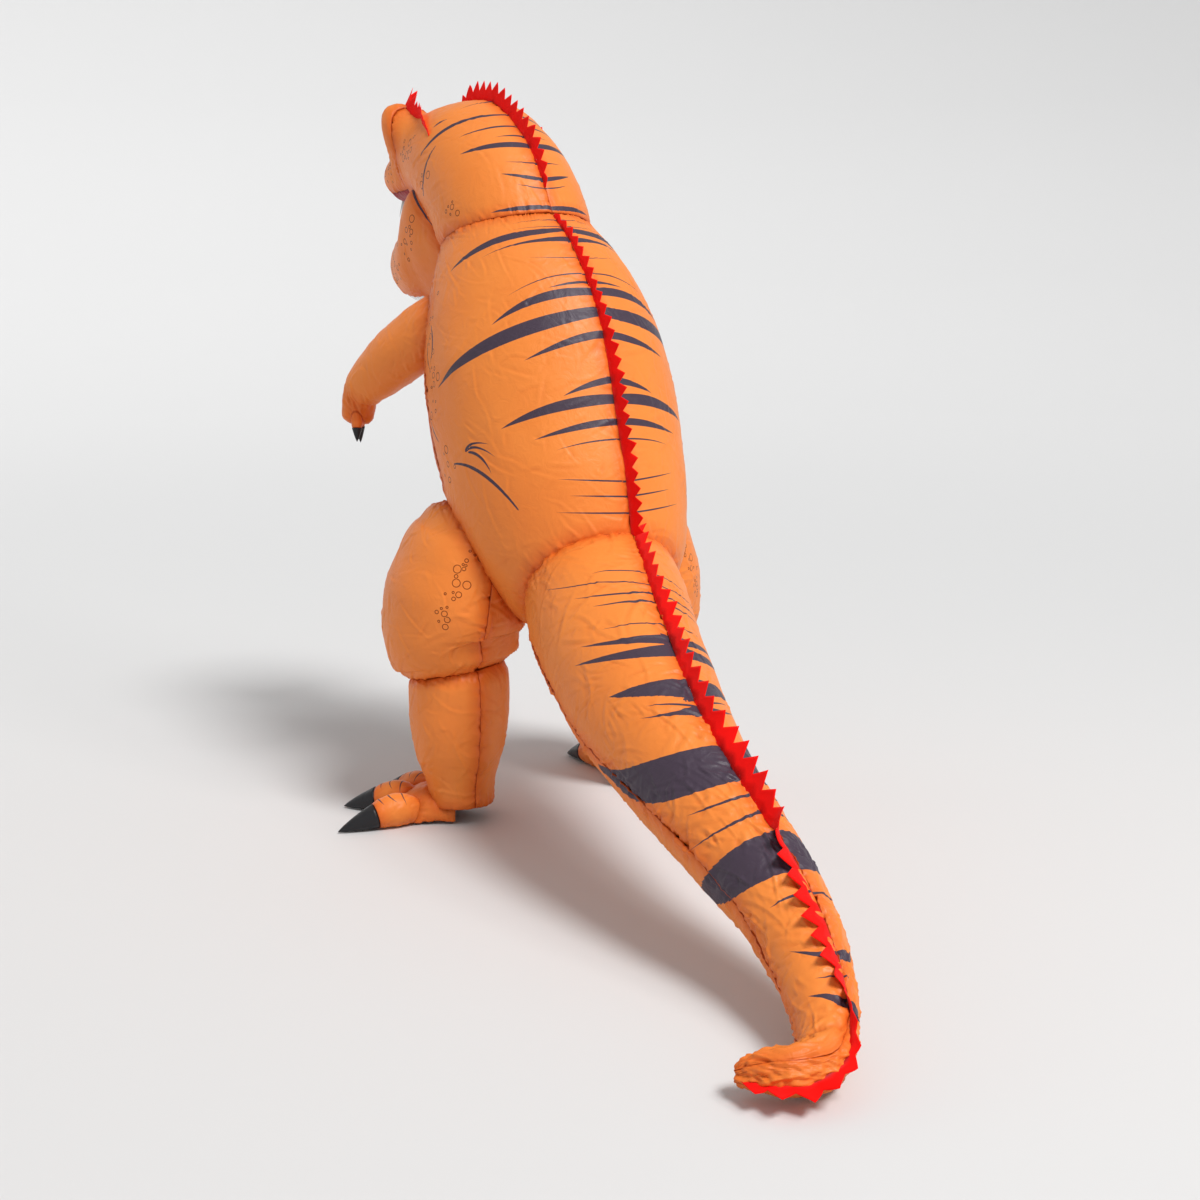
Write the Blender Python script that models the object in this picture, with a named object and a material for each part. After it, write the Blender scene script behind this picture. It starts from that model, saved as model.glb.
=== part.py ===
"""An inflatable dinosaur costume, filled with air and standing as it is worn, with no wearer.

Metres, +Z up. It faces -Y, its tail goes to +Y, and the wearer's left is +X. Heights in the tables
are above the floor; the empty that everything hangs from moves the origin to the wearer's shoulders.
"""

import math

import bmesh
import bpy
import numpy as np
from mathutils import Matrix, Vector

# Driving sizes
WALL = 0.002            # cloth and its air-tight coating
GAP = 0.0003            # between two pieces that are sewn or seated
STRIP = 0.002           # doubled felt of crests and teeth
TOOTH_LIFT = 0.0009     # a leaning strip's foot over its panel
SHOULDERS = (0.0, -0.16, 1.42)
STEP = 18               # degrees between the points of a large ring
SMALL_STEP = 22.5       # and of a jaw, tail or leg ring

HIP_X = {"left": 0.285, "right": 0.34}    # leg centre from the middle
LEG_Y = {"left": -0.18, "right": -0.23}
TAIL_CREST_LIFT = 0.0010  # it leans over the tail's edges where it lies to one side
# The tail's crest falls to the right of the ridge after so many of its points
TAIL_CREST_FLOPS = 7
FOOT_YAW = {"left": 48, "right": 25}
TOE_SPLAY = {"outer": 36, "middle": -1, "inner": -32}
CLAW_END = 0.374        # a claw's tip from the ankle's centre

# Table columns
PROFILE = "low_y low_z high_y high_z half_width"
PATH = "x y z side fore aft"

# Rings of the body, from between the legs up to the neck seam. low is the belly, high the back.
BODY_ROWS = (
    (-0.012, 0.575, 0.030, 0.572, 0.020),
    (-0.100, 0.585, 0.130, 0.583, 0.100),
    (-0.195, 0.630, 0.230, 0.625, 0.190),
    (-0.272, 0.710, 0.300, 0.705, 0.262),
    (-0.345, 0.830, 0.328, 0.840, 0.320),
    (-0.415, 0.980, 0.304, 1.000, 0.345),
    (-0.475, 1.130, 0.250, 1.180, 0.356),
    (-0.517, 1.270, 0.192, 1.360, 0.346),
    (-0.550, 1.410, 0.108, 1.520, 0.312),
    (-0.566, 1.530, 0.003, 1.650, 0.268),
    (-0.575, 1.625, -0.120, 1.745, 0.218),
)
# Rings of the head, from the neck seam round the crown to the nose. low is the throat and palate.
HEAD_ROWS = (
    (-0.575, 1.625, -0.120, 1.745, 0.218),
    (-0.598, 1.645, -0.178, 1.840, 0.226),
    (-0.618, 1.668, -0.264, 1.942, 0.226),
    (-0.645, 1.695, -0.388, 2.030, 0.224),
    (-0.680, 1.730, -0.520, 2.088, 0.218),
    (-0.725, 1.765, -0.645, 2.098, 0.205),
    (-0.785, 1.785, -0.755, 2.052, 0.194),
    (-0.870, 1.793, -0.850, 2.010, 0.184),
    (-0.955, 1.798, -0.948, 1.990, 0.168),
    (-1.015, 1.813, -1.012, 1.958, 0.134),
    (-1.048, 1.850, -1.048, 1.922, 0.080),
    (-1.060, 1.885, -1.060, 1.893, 0.012),
)
MUZZLE_ROW = 6
# Rings of the lower jaw, from inside the neck to the chin. low is its underside.
JAW_ROWS = (
    (-0.450, 1.470, -0.480, 1.800, 0.150),
    (-0.560, 1.468, -0.590, 1.870, 0.184),
    (-0.660, 1.468, -0.680, 1.870, 0.198),
    (-0.765, 1.472, -0.775, 1.750, 0.196),
    (-0.870, 1.480, -0.890, 1.748, 0.176),
    (-0.960, 1.496, -0.975, 1.712, 0.142),
    (-1.015, 1.530, -1.023, 1.668, 0.090),
    (-1.037, 1.580, -1.038, 1.600, 0.014),
)
# Rings of the tail, from inside the body to the tip that lies folded on the floor.
TAIL_ROWS = (
    (0.000, 0.110, 0.755, 0.170, 0.170, 0.170),
    (0.018, 0.190, 0.722, 0.210, 0.205, 0.205),
    (0.063, 0.310, 0.672, 0.221, 0.208, 0.208),
    (0.139, 0.585, 0.545, 0.199, 0.188, 0.188),
    (0.177, 0.815, 0.439, 0.168, 0.163, 0.163),
    (0.188, 0.967, 0.370, 0.146, 0.144, 0.144),
    (0.194, 1.138, 0.291, 0.126, 0.125, 0.125),
    (0.199, 1.267, 0.232, 0.107, 0.110, 0.110),
    (0.218, 1.400, 0.171, 0.090, 0.092, 0.092),
    (0.250, 1.498, 0.126, 0.077, 0.079, 0.079),
    (0.294, 1.585, 0.088, 0.066, 0.068, 0.068),
    (0.338, 1.645, 0.070, 0.056, 0.062, 0.060),
    (0.390, 1.686, 0.062, 0.047, 0.058, 0.055),
    (0.440, 1.680, 0.062, 0.045, 0.060, 0.056),
    (0.482, 1.650, 0.060, 0.041, 0.050, 0.048),
    (0.512, 1.628, 0.055, 0.028, 0.034, 0.032),
    (0.528, 1.616, 0.052, 0.007, 0.007, 0.007),
)
# Rings of the left thigh and shin from below, for a leg centre at x = y = 0.
THIGH_ROWS = (
    (0.000, 0.000, 0.460, 0.132, 0.136, 0.126),
    (0.000, 0.000, 0.492, 0.172, 0.194, 0.166),
    (0.010, -0.010, 0.570, 0.198, 0.230, 0.207),
    (0.002, -0.004, 0.665, 0.198, 0.235, 0.222),
    (-0.012, 0.003, 0.765, 0.175, 0.211, 0.215),
    (-0.034, 0.013, 0.850, 0.144, 0.175, 0.190),
    (-0.044, 0.020, 0.912, 0.104, 0.130, 0.135),
    (-0.049, 0.020, 0.935, 0.030, 0.040, 0.040),
)
SHIN_ROWS = (
    (0.000, 0.010, 0.045, 0.090, 0.092, 0.092),
    (0.000, 0.005, 0.110, 0.100, 0.104, 0.102),
    (0.000, 0.000, 0.220, 0.134, 0.136, 0.136),
    (0.000, 0.000, 0.330, 0.147, 0.150, 0.148),
    (0.000, 0.000, 0.415, 0.146, 0.150, 0.145),
    (0.000, 0.000, 0.460, 0.132, 0.136, 0.126),
)
# The foot's upper, along the foot from the ankle: x is sideways and y is how far forward.
FOOT_ROWS = (
    (0.000, 0.000, 0.012, 0.070, 0.100, 0.012),
    (0.000, 0.070, 0.012, 0.090, 0.094, 0.012),
    (0.000, 0.130, 0.012, 0.104, 0.080, 0.012),
    (0.000, 0.165, 0.012, 0.096, 0.062, 0.012),
    (0.000, 0.183, 0.012, 0.070, 0.038, 0.012),
    (0.000, 0.190, 0.012, 0.020, 0.014, 0.006),
)
# A toe's half width and half height, with how far from the ankle's centre they are.
TOE_ROWS = (
    (0.145, 0.032, 0.036),
    (0.170, 0.038, 0.044),
    (0.200, 0.044, 0.048),
    (0.240, 0.040, 0.042),
    (0.262, 0.037, 0.037),
)
# Rings of the left arm, from inside the body to the rounded wrist.
ARM_ROWS = (
    (0.200, -0.300, 1.455, 0.086, 0.090, 0.086),
    (0.253, -0.398, 1.415, 0.090, 0.094, 0.090),
    (0.305, -0.488, 1.356, 0.087, 0.088, 0.088),
    (0.349, -0.568, 1.293, 0.077, 0.077, 0.079),
    (0.377, -0.619, 1.246, 0.064, 0.064, 0.065),
    (0.389, -0.641, 1.210, 0.052, 0.050, 0.052),
    (0.393, -0.648, 1.192, 0.029, 0.027, 0.027),
    (0.394, -0.650, 1.186, 0.008, 0.008, 0.008),
)
FINGERS = {"front": (-0.010, -0.020), "rear": (0.011, 0.020)}
FINGER_TOP_Z = 1.215
FINGER_END_Z = 1.122
FINGER_CLAW_Z = {"front": 1.072, "rear": 1.082}

# Seams, as degrees round a ring: 0 is +X, 90 is the belly, throat or top of the tail.
BODY_SEAMS = {
    "back_left": (270, 378),
    "belly_left": (18, 90),
    "belly_right": (90, 162),
    "back_right": (162, 270),
}
SKULL_SEAMS = {"skull_left": (270, 450), "skull_right": (90, 270)}
MUZZLE_SEAMS = {"palate": (36, 144), "muzzle": (144, 396)}
JAW_SEAMS = {"jaw_lining": (225, 315), "jaw": (315, 585)}
TAIL_SEAMS = {"tail_left": (-22.5, 90), "tail_right": (90, 202.5), "tail_under": (202.5, 337.5)}
LEG_SEAMS = ((-90, 90), (90, 270))

WINDOW = {"turns": (45, 135), "from": 3, "to": 7}

# Brow: a bulge over each eye, in rows and degrees of the head's table.
BROW_CREST_TURNS = {"left": 324, "right": 216}
BROW = {"row": 6.35, "turns": (-44, 224), "rise": 0.115, "rows": 0.62, "spread": 24}
# Cheeks swell beside the corners of the mouth
CHEEK = {"row": 2.3, "turns": (318, 222), "rise": 0.050, "rows": 1.1, "spread": 30}

COLOURS = {
    "orange": ((0.80, 0.24, 0.045), 0.5),
    "belly": ((0.62, 0.20, 0.05), 0.55),
    "red_felt": ((0.85, 0.01, 0.01), 0.9),
    "mouth": ((0.50, 0.01, 0.02), 0.6),
    "claw": ((0.02, 0.02, 0.022), 0.5),
    "tooth": ((0.72, 0.72, 0.70), 0.6),
    "vinyl": ((0.80, 0.84, 0.86), 0.1),
    "zip": ((0.03, 0.03, 0.03), 0.7),
    "plastic": ((0.04, 0.04, 0.04), 0.4),
}


def clean_scene():
    for thing in list(bpy.data.objects):
        bpy.data.objects.remove(thing, do_unlink=True)


def material(slot):
    found = bpy.data.materials.get(slot)
    if found:
        return found
    made = bpy.data.materials.new(slot)
    made.use_nodes = True
    colour, roughness = COLOURS[slot]
    shader = made.node_tree.nodes["Principled BSDF"]
    shader.inputs["Base Color"].default_value = (*colour, 1)
    shader.inputs["Roughness"].default_value = roughness
    shader.inputs["Metallic"].default_value = 0.0
    return made


clean_scene()
COSTUME = bpy.data.collections.new("dinosaur_costume")
CUTTERS = bpy.data.collections.new("cutters")
for group in (COSTUME, CUTTERS):
    bpy.context.scene.collection.children.link(group)
HELD = bpy.data.objects.new("wearer_shoulders", None)
HELD.location = [-value for value in SHOULDERS]
COSTUME.objects.link(HELD)


# Smooth forms


def unit(vectors):
    return vectors / np.linalg.norm(vectors, axis=-1, keepdims=True)


def eased(values, at):
    """A smooth curve through a column of a table, with no overshoot; at counts in rows."""
    steps = np.diff(values)
    slope = np.zeros(len(values))
    slope[0], slope[-1] = steps[0], steps[-1]
    before, after = steps[:-1], steps[1:]
    same = before * after > 0
    slope[1:-1][same] = 2 * before[same] * after[same] / (before + after)[same]
    row = np.clip(np.floor(at).astype(int), 0, len(values) - 2)
    t = at - row
    low, high = values[row], values[row + 1]
    bend = low * (1 + 2 * t) * (1 - t) ** 2 + high * t * t * (3 - 2 * t)
    return bend + slope[row] * t * (1 - t) ** 2 - slope[row + 1] * t * t * (1 - t)


class Form:
    """An inflated round form: rings through the rows of a table, smooth along and around."""

    def __init__(self, columns, rows, facing=(1, 0, 0), bumps=None):
        self.rows = np.array(rows, float)
        self.columns = columns.split()
        self.facing = np.array(facing, float)
        self.bumps = bumps
        self.last = len(rows) - 1

    def column(self, name, at):
        return eased(self.rows[:, self.columns.index(name)], at)

    def rings(self, at):
        """Centres, side and fore axes, and the half sizes of the rings at the given rows."""
        if "low_y" in self.columns:
            nothing = np.zeros_like(at)
            low = np.stack([nothing, self.column("low_y", at), self.column("low_z", at)], -1)
            high = np.stack([nothing, self.column("high_y", at), self.column("high_z", at)], -1)
            half = np.linalg.norm(low - high, axis=-1) / 2
            side = np.broadcast_to(self.facing, low.shape)
            return (low + high) / 2, side, unit(low - high), self.column("half_width", at), half, half
        centre = self.path(at)
        ahead, behind = np.minimum(at + 0.05, self.last), np.maximum(at - 0.05, 0)
        travel = unit(self.path(ahead) - self.path(behind))
        along = np.sum(travel * self.facing, -1, keepdims=True)
        fore = unit(self.facing - along * travel)
        sizes = [self.column(name, at) for name in ("side", "fore", "aft")]
        return centre, np.cross(travel, fore), fore, *sizes

    def path(self, at):
        return np.stack([self.column(name, at) for name in "xyz"], -1)

    def surface(self, turn, at):
        """Points at an angle in degrees round the rings and a place along them in rows."""
        centre, side, fore, wide, front, back = self.rings(at)
        angle = np.radians(turn)
        deep = np.where(np.sin(angle) > 0, front, back)
        across = (wide * np.cos(angle))[..., None] * side
        return centre + across + (deep * np.sin(angle))[..., None] * fore

    def smooth_normal(self, turn, at, place):
        ahead, behind = np.minimum(at + 0.02, self.last), np.maximum(at - 0.02, 0)
        along = place(turn, ahead) - place(turn, behind)
        around = place(turn + 0.5, at) - place(turn - 0.5, at)
        return unit(np.cross(along, around))

    def point(self, turn, at):
        turn, at = np.broadcast_arrays(np.asarray(turn, float), np.asarray(at, float))
        if not self.bumps:
            return self.surface(turn, at)
        rise = self.bumps(turn, at)
        return self.surface(turn, at) + rise[..., None] * self.smooth_normal(turn, at, self.surface)

    def normal(self, turn, at):
        turn, at = np.broadcast_arrays(np.asarray(turn, float), np.asarray(at, float))
        return self.smooth_normal(turn, at, self.point)


def swell(place):
    """A function that says how far a form swells at a place on its left and its right."""
    def rise(turn, at):
        total = 0
        for middle in place["turns"]:
            off_turn = (turn - middle + 180) % 360 - 180
            off_row = at - place["row"]
            total = total + np.exp(-((off_turn / place["spread"]) ** 2) - (off_row / place["rows"]) ** 2)
        return place["rise"] * total
    return rise


def mirrored(rows, side):
    """The same rows on the right, where x is the other way."""
    sign = 1 if side == "left" else -1
    return [(sign * row[0], *row[1:]) for row in rows]


def leg_rows(rows, side):
    sign = 1 if side == "left" else -1
    return [(sign * (HIP_X[side] + row[0]), LEG_Y[side] + row[1], *row[2:]) for row in rows]


BODY = Form(PROFILE, BODY_ROWS)
HEAD = Form(PROFILE, HEAD_ROWS, bumps=swell(BROW))
JAW = Form(PROFILE, JAW_ROWS, bumps=swell(CHEEK))
TAIL = Form(PATH, TAIL_ROWS, facing=(0, 0, 1))


# Meshes


def add(name, slot, verts, faces):
    mesh = bpy.data.meshes.new(name)
    mesh.from_pydata([tuple(v) for v in verts], [], faces)
    mesh.materials.append(material(slot))
    made = bpy.data.objects.new(name, mesh)
    COSTUME.objects.link(made)
    made.parent = HELD
    return made


def samples(seams, step):
    low, high = seams
    return np.linspace(low, high, round((high - low) / step) + 1)


def pulled_in(form, turns, rows, closed, edge):
    """The grid of a panel, whose edges stay back from its seams by edge."""
    turn, at = np.meshgrid(turns, rows)
    turn, at = turn.copy(), at.copy()
    if not closed:
        reach = np.linalg.norm(form.surface(turn + 0.5, at) - form.surface(turn - 0.5, at), axis=-1)
        turn[:, 0] += edge / reach[:, 0]
        turn[:, -1] -= edge / reach[:, -1]
    low, high = np.maximum(at - 0.01, 0), np.minimum(at + 0.01, form.last)
    reach = np.linalg.norm(form.surface(turn, high) - form.surface(turn, low), axis=-1) / (high - low)
    at[0] += edge / reach[0].max()
    at[-1] -= edge / reach[-1].max()
    return turn, at


def wall(name, slot, form, turns, rows, lift=0.0, thick=WALL, closed=False, edge=GAP / 2):
    """A cloth panel: a closed wall on part of a form, its outer side lifted by lift."""
    turn, at = pulled_in(form, turns, rows, closed, edge)
    if closed:
        turn, at = turn[:, :-1], at[:, :-1]
    place, out = form.point(turn, at), form.normal(turn, at)
    outer, inner = place + lift * out, place + (lift - thick) * out
    n_at, n_turn = turn.shape
    count = n_at * n_turn
    faces = []

    def index(i, j, layer):
        return layer * count + i * n_turn + j % n_turn

    def quad(a, b, c, d):
        faces.extend([(a, b, c), (a, c, d)])

    spans = n_turn if closed else n_turn - 1
    for i in range(n_at - 1):
        for j in range(spans):
            a, b, c, d = (index(i, j, 0), index(i + 1, j, 0), index(i + 1, j + 1, 0), index(i, j + 1, 0))
            quad(a, b, c, d)
            faces.extend([(a + count, c + count, b + count), (a + count, d + count, c + count)])
    for j in range(spans):
        quad(index(0, j, 0), index(0, j + 1, 0), index(0, j + 1, 1), index(0, j, 1))
        top = n_at - 1
        quad(index(top, j, 0), index(top, j, 1), index(top, j + 1, 1), index(top, j + 1, 0))
    if not closed:
        for i in range(n_at - 1):
            quad(index(i, 0, 0), index(i, 0, 1), index(i + 1, 0, 1), index(i + 1, 0, 0))
            far = n_turn - 1
            quad(index(i, far, 0), index(i + 1, far, 0), index(i + 1, far, 1), index(i, far, 1))
    return add(name, slot, np.concatenate([outer.reshape(-1, 3), inner.reshape(-1, 3)]), faces)


def volume(name, form, turns, rows, lift, beyond=None):
    """A closed solid of a form's whole outside, for cutting the walls that it meets. beyond is a second
    form and its rows, which go on from the first."""
    stretches = [(form, rows)] + ([beyond] if beyond else [])
    points = []
    for shape, places in stretches:
        turn, at = np.meshgrid(turns, places)
        points.extend(shape.point(turn, at) + lift * shape.normal(turn, at))
    points = np.array(points)
    n_at, n_turn = points.shape[:2]
    ends = [points[0].mean(0), points[-1].mean(0)]
    first, last = n_at * n_turn, n_at * n_turn + 1
    faces = []
    for i in range(n_at - 1):
        for j in range(n_turn):
            k = (j + 1) % n_turn
            a, b, c, d = i * n_turn + j, (i + 1) * n_turn + j, (i + 1) * n_turn + k, i * n_turn + k
            faces.extend([(a, b, c), (a, c, d)])
    top = (n_at - 1) * n_turn
    for j in range(n_turn):
        k = (j + 1) % n_turn
        faces.extend([(first, j, k), (last, top + k, top + j)])
    made = add(name, "zip", [*points.reshape(-1, 3), *ends], faces)
    as_cutter(made)
    return made


def hidden(tool):
    tool.hide_render = True
    tool.display_type = "WIRE"


def as_cutter(made):
    COSTUME.objects.unlink(made)
    CUTTERS.objects.link(made)
    hidden(made)


def around(*seams, step):
    """The points of a whole ring, once each, on all of its panels' seams."""
    turns = np.concatenate([samples(pair, step)[:-1] for pair in seams])
    return np.sort(turns % 360)


def cut(piece, *tools, operation="DIFFERENCE"):
    for tool in tools:
        change = piece.modifiers.new(tool.name, "BOOLEAN")
        change.operation = operation
        change.solver = "EXACT"
        change.object = tool


def settled(piece):
    """Applies a piece's cuts and keeps its largest body, without the webs that the cuts part from it."""
    bpy.context.view_layer.update()
    graph = bpy.context.evaluated_depsgraph_get()
    mesh = bpy.data.meshes.new_from_object(piece.evaluated_get(graph))
    piece.modifiers.clear()
    work = bmesh.new()
    work.from_mesh(mesh)
    left, bodies = set(work.verts), []
    while left:
        body, edge = set(), [left.pop()]
        while edge:
            vert = edge.pop()
            body.add(vert)
            near = {link.other_vert(vert) for link in vert.link_edges} & left
            left -= near
            edge.extend(near)
        bodies.append(body)
    largest = max(bodies, key=len)
    bmesh.ops.delete(work, geom=[vert for vert in work.verts if vert not in largest], context="VERTS")
    work.to_mesh(mesh)
    work.free()
    piece.data = mesh


def serrated(name, slot, base, out, tall, low=0.004, thick=STRIP):
    """A felt strip on edge: its foot follows base, and its free edge has a point at each odd row."""
    travel = unit(np.gradient(base, axis=0))
    across = unit(np.cross(travel, out))
    height = np.where(np.arange(len(base)) % 2 == 1, tall, low)[:, None]
    half = across * thick / 2
    rings = np.stack([base - half, base + half, base + half + out * height, base - half + out * height], 1)
    faces = []
    for i in range(len(base) - 1):
        for j in range(4):
            k = (j + 1) % 4
            a, b, c, d = 4 * i + j, 4 * i + 4 + j, 4 * i + 4 + k, 4 * i + k
            faces.extend([(a, b, c), (a, c, d)])
    end = 4 * (len(base) - 1)
    faces.extend([(0, 1, 2), (0, 2, 3), (end, end + 2, end + 1), (end, end + 3, end + 2)])
    return add(name, slot, rings.reshape(-1, 3), faces)


def over_panel(form, turns, rows, spikes, lift):
    """A line over a panel's own points, with places for so many spikes between each two of them."""
    corners, out = form.point(turns, rows), form.normal(turns, rows)
    steps = np.linspace(0, len(corners) - 1, 2 * spikes * (len(corners) - 1) + 1)
    whole = np.arange(len(corners))

    def between(values):
        return np.stack([np.interp(steps, whole, values[:, axis]) for axis in range(3)], -1)

    out = unit(between(out))
    return between(corners) + lift * out, out


# Panels of each form, with the rows at which their points lie

BODY_AT = np.concatenate([np.linspace(0, 4, 6), np.linspace(4, 10, 9)[1:]])
SKULL_AT = np.linspace(0, MUZZLE_ROW, 9)
MUZZLE_AT = np.array([6, 6.4, 7.0, 7.8, 8.6, 9.4, 10.2, 11])
JAW_AT = np.linspace(0, JAW.last, 9)
TAIL_AT = np.concatenate([np.linspace(0, 9, 11), np.linspace(9, TAIL.last, 10)[1:]])
THIGH_AT = np.arange(float(len(THIGH_ROWS)))
SHIN_AT = np.arange(float(len(SHIN_ROWS)))
ARM_AT = np.linspace(0, len(ARM_ROWS) - 1, 7)
FOOT_AT = np.arange(float(len(FOOT_ROWS)))


def make_body():
    return {
        name: wall(name, "orange" if "back" in name else "belly", BODY, samples(seams, STEP), BODY_AT)
        for name, seams in BODY_SEAMS.items()
    }


def make_head():
    pieces = {
        name: wall(name, "orange", HEAD, samples(seams, STEP), SKULL_AT)
        for name, seams in SKULL_SEAMS.items()
    }
    for name, seams in MUZZLE_SEAMS.items():
        slot = "mouth" if name == "palate" else "orange"
        pieces[name] = wall(name, slot, HEAD, samples(seams, STEP), MUZZLE_AT)
    for name, seams in JAW_SEAMS.items():
        slot = "mouth" if name == "jaw_lining" else "orange"
        pieces[name] = wall(name, slot, JAW, samples(seams, SMALL_STEP), JAW_AT)
    return pieces


def make_window(jaw):
    """The clear panel under the jaw that the wearer looks through, set into the jaw's own wall."""
    turns, rows = samples(WINDOW["turns"], SMALL_STEP), JAW_AT[WINDOW["from"]:WINDOW["to"]]
    wall("throat_window", "vinyl", JAW, turns, rows)
    hole = wall("window_hole", "zip", JAW, turns, rows, lift=WALL, thick=3 * WALL, edge=-GAP / 2)
    as_cutter(hole)
    cut(jaw, hole)


def make_tail():
    return {
        name: wall(name, "orange", TAIL, samples(seams, SMALL_STEP), TAIL_AT)
        for name, seams in TAIL_SEAMS.items()
    }


def make_leg(side):
    """Thigh and shin panels, by name, and the forms they follow."""
    thigh = Form(PATH, leg_rows(THIGH_ROWS, side), facing=(0, -1, 0))
    shin = Form(PATH, leg_rows(SHIN_ROWS, side), facing=(0, -1, 0))
    pieces = {}
    for seams, where in zip(LEG_SEAMS, ("outer", "inner") if side == "left" else ("inner", "outer")):
        pieces[f"thigh_{where}_{side}"] = wall(
            f"thigh_{where}_{side}", "orange", thigh, samples(seams, SMALL_STEP), THIGH_AT
        )
        pieces[f"shin_{where}_{side}"] = wall(
            f"shin_{where}_{side}", "orange", shin, samples(seams, SMALL_STEP), SHIN_AT
        )
    return pieces, thigh, shin


def foot_frame(side):
    """The ankle's centre on the floor, and the directions forward and sideways of the foot."""
    sign = 1 if side == "left" else -1
    yaw = math.radians(FOOT_YAW[side])
    ankle = np.array([sign * HIP_X[side], LEG_Y[side] + SHIN_ROWS[0][1], 0.0])
    return ankle, yaw, sign


def heading(sign, yaw):
    return np.array([sign * math.sin(yaw), -math.cos(yaw), 0.0])


def toe_form(side, toe):
    ankle, yaw, sign = foot_frame(side)
    ahead = heading(sign, yaw + math.radians(TOE_SPLAY[toe]))
    rows = []
    for far, wide, tall in TOE_ROWS:
        at = ankle + far * ahead
        rows.append((at[0], at[1], tall + 0.002, wide, tall, tall))
    return Form(PATH, rows, facing=(0, 0, 1)), ahead, ankle


def claw(name, tip_of, end, sides=8, rings=3):
    """A stuffed claw on the end of a toe or finger: a cone that bends towards its point."""
    centre, side, fore, wide, _, _ = tip_of.rings(np.array([float(tip_of.last)]))
    ahead = np.cross(fore[0], side[0])
    start = centre[0] + GAP * ahead
    reach = np.array(end) - start
    straight = np.dot(reach, ahead) * ahead
    rows = []
    for share in [0, 0.04, *np.linspace(0, 1, rings + 1)[1:]]:
        bend = 0 if share < 0.1 else share ** 1.7
        half = max(wide[0] * (1 - share) ** 0.75, 0.0015)
        rows.append((*(start + share * straight + bend * (reach - straight)), half, half, half))
    form = Form(PATH, rows, facing=tip_of.facing)
    made = volume(name, form, np.arange(sides) * 360 / sides, np.arange(float(len(rows))), 0.0)
    CUTTERS.objects.unlink(made)
    COSTUME.objects.link(made)
    made.hide_render = False
    made.display_type = "TEXTURED"
    made.data.materials[0] = material("claw")


def make_foot(side, shin, shin_panels):
    ankle, yaw, sign = foot_frame(side)
    ahead = heading(sign, yaw)
    rows = [(*(ankle + row[1] * ahead)[:2], *row[2:]) for row in FOOT_ROWS]
    foot = Form(PATH, rows, facing=(0, 0, 1))
    half_ring = np.linspace(-12, 192, 10)
    upper = wall(f"foot_{side}", "orange", foot, half_ring, FOOT_AT)
    ring = np.concatenate([half_ring, np.linspace(192, 348, 5)[1:-1]])
    shin_inside = volume(f"shin_inside_{side}", shin, around(*LEG_SEAMS, step=SMALL_STEP), SHIN_AT, -WALL)
    cut(upper, shin_inside)
    foot_outside = volume(f"foot_outside_{side}", foot, ring, FOOT_AT, GAP)
    for panel in shin_panels:
        cut(panel, foot_outside)
    foot_inside = volume(f"foot_inside_{side}", foot, ring, FOOT_AT, -WALL)
    for toe in TOE_SPLAY:
        form, toe_ahead, _ = toe_form(side, toe)
        turns = np.linspace(0, 360, 10)
        toe_at = np.linspace(0, form.last, 4)
        piece = wall(f"toe_{toe}_{side}", "orange", form, turns, toe_at, closed=True)
        cut(piece, foot_inside)
        hole = volume(f"toe_outside_{toe}_{side}", form, turns[:-1], toe_at, GAP)
        cut(upper, hole)
        claw(f"claw_{toe}_{side}", form, ankle + CLAW_END * toe_ahead + np.array([0, 0, 0.006]))
    settled(upper)


def make_arm(side):
    sign = 1 if side == "left" else -1
    arm = Form(PATH, mirrored(ARM_ROWS, side), facing=(0, -0.6, 0.8))
    ring = np.linspace(0, 360, 12)
    sleeve = wall(f"sleeve_{side}", "orange", arm, ring, ARM_AT, closed=True)
    inside = volume(f"arm_inside_{side}", arm, ring[:-1], ARM_AT, -WALL)
    wrist = ARM_ROWS[-2]
    for finger, (off_x, off_y) in FINGERS.items():
        x, y = sign * (wrist[0] + off_x), wrist[1] + off_y
        spread_x, spread_y = sign * off_x * 0.5, off_y * 0.5
        rows = [
            (x, y, FINGER_TOP_Z, 0.020, 0.020, 0.020),
            (x + spread_x * 0.4, y + spread_y * 0.4, 1.165, 0.023, 0.023, 0.023),
            (x + spread_x, y + spread_y, FINGER_END_Z, 0.016, 0.016, 0.016),
        ]
        form = Form(PATH, rows, facing=(0, -1, 0))
        turns, finger_at = np.linspace(0, 360, 9), np.linspace(0, 2, 4)
        piece = wall(f"finger_{finger}_{side}", "orange", form, turns, finger_at, closed=True)
        cut(piece, inside)
        cut(sleeve, volume(f"finger_outside_{finger}_{side}", form, turns[:-1], finger_at, GAP))
        end = (rows[-1][0] + spread_x, rows[-1][1] + spread_y, FINGER_CLAW_Z[finger])
        claw(f"finger_claw_{finger}_{side}", form, end)
    return sleeve, volume(f"arm_outside_{side}", arm, ring[:-1], ARM_AT, GAP)


# Strips on the panels


def crest(name, form, turns, rows, tall, spikes=2, lift=2 * GAP):
    """A serrated red crest along a panel's own points."""
    base, out = over_panel(form, turns + np.zeros(len(rows)), rows, spikes, lift)
    share = np.linspace(0, 1, len(base))
    height = tall * (0.55 + 0.45 * np.sin(np.pi * np.clip(share * 1.15, 0, 1)))
    serrated(name, "red_felt", base, out, height)


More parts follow.
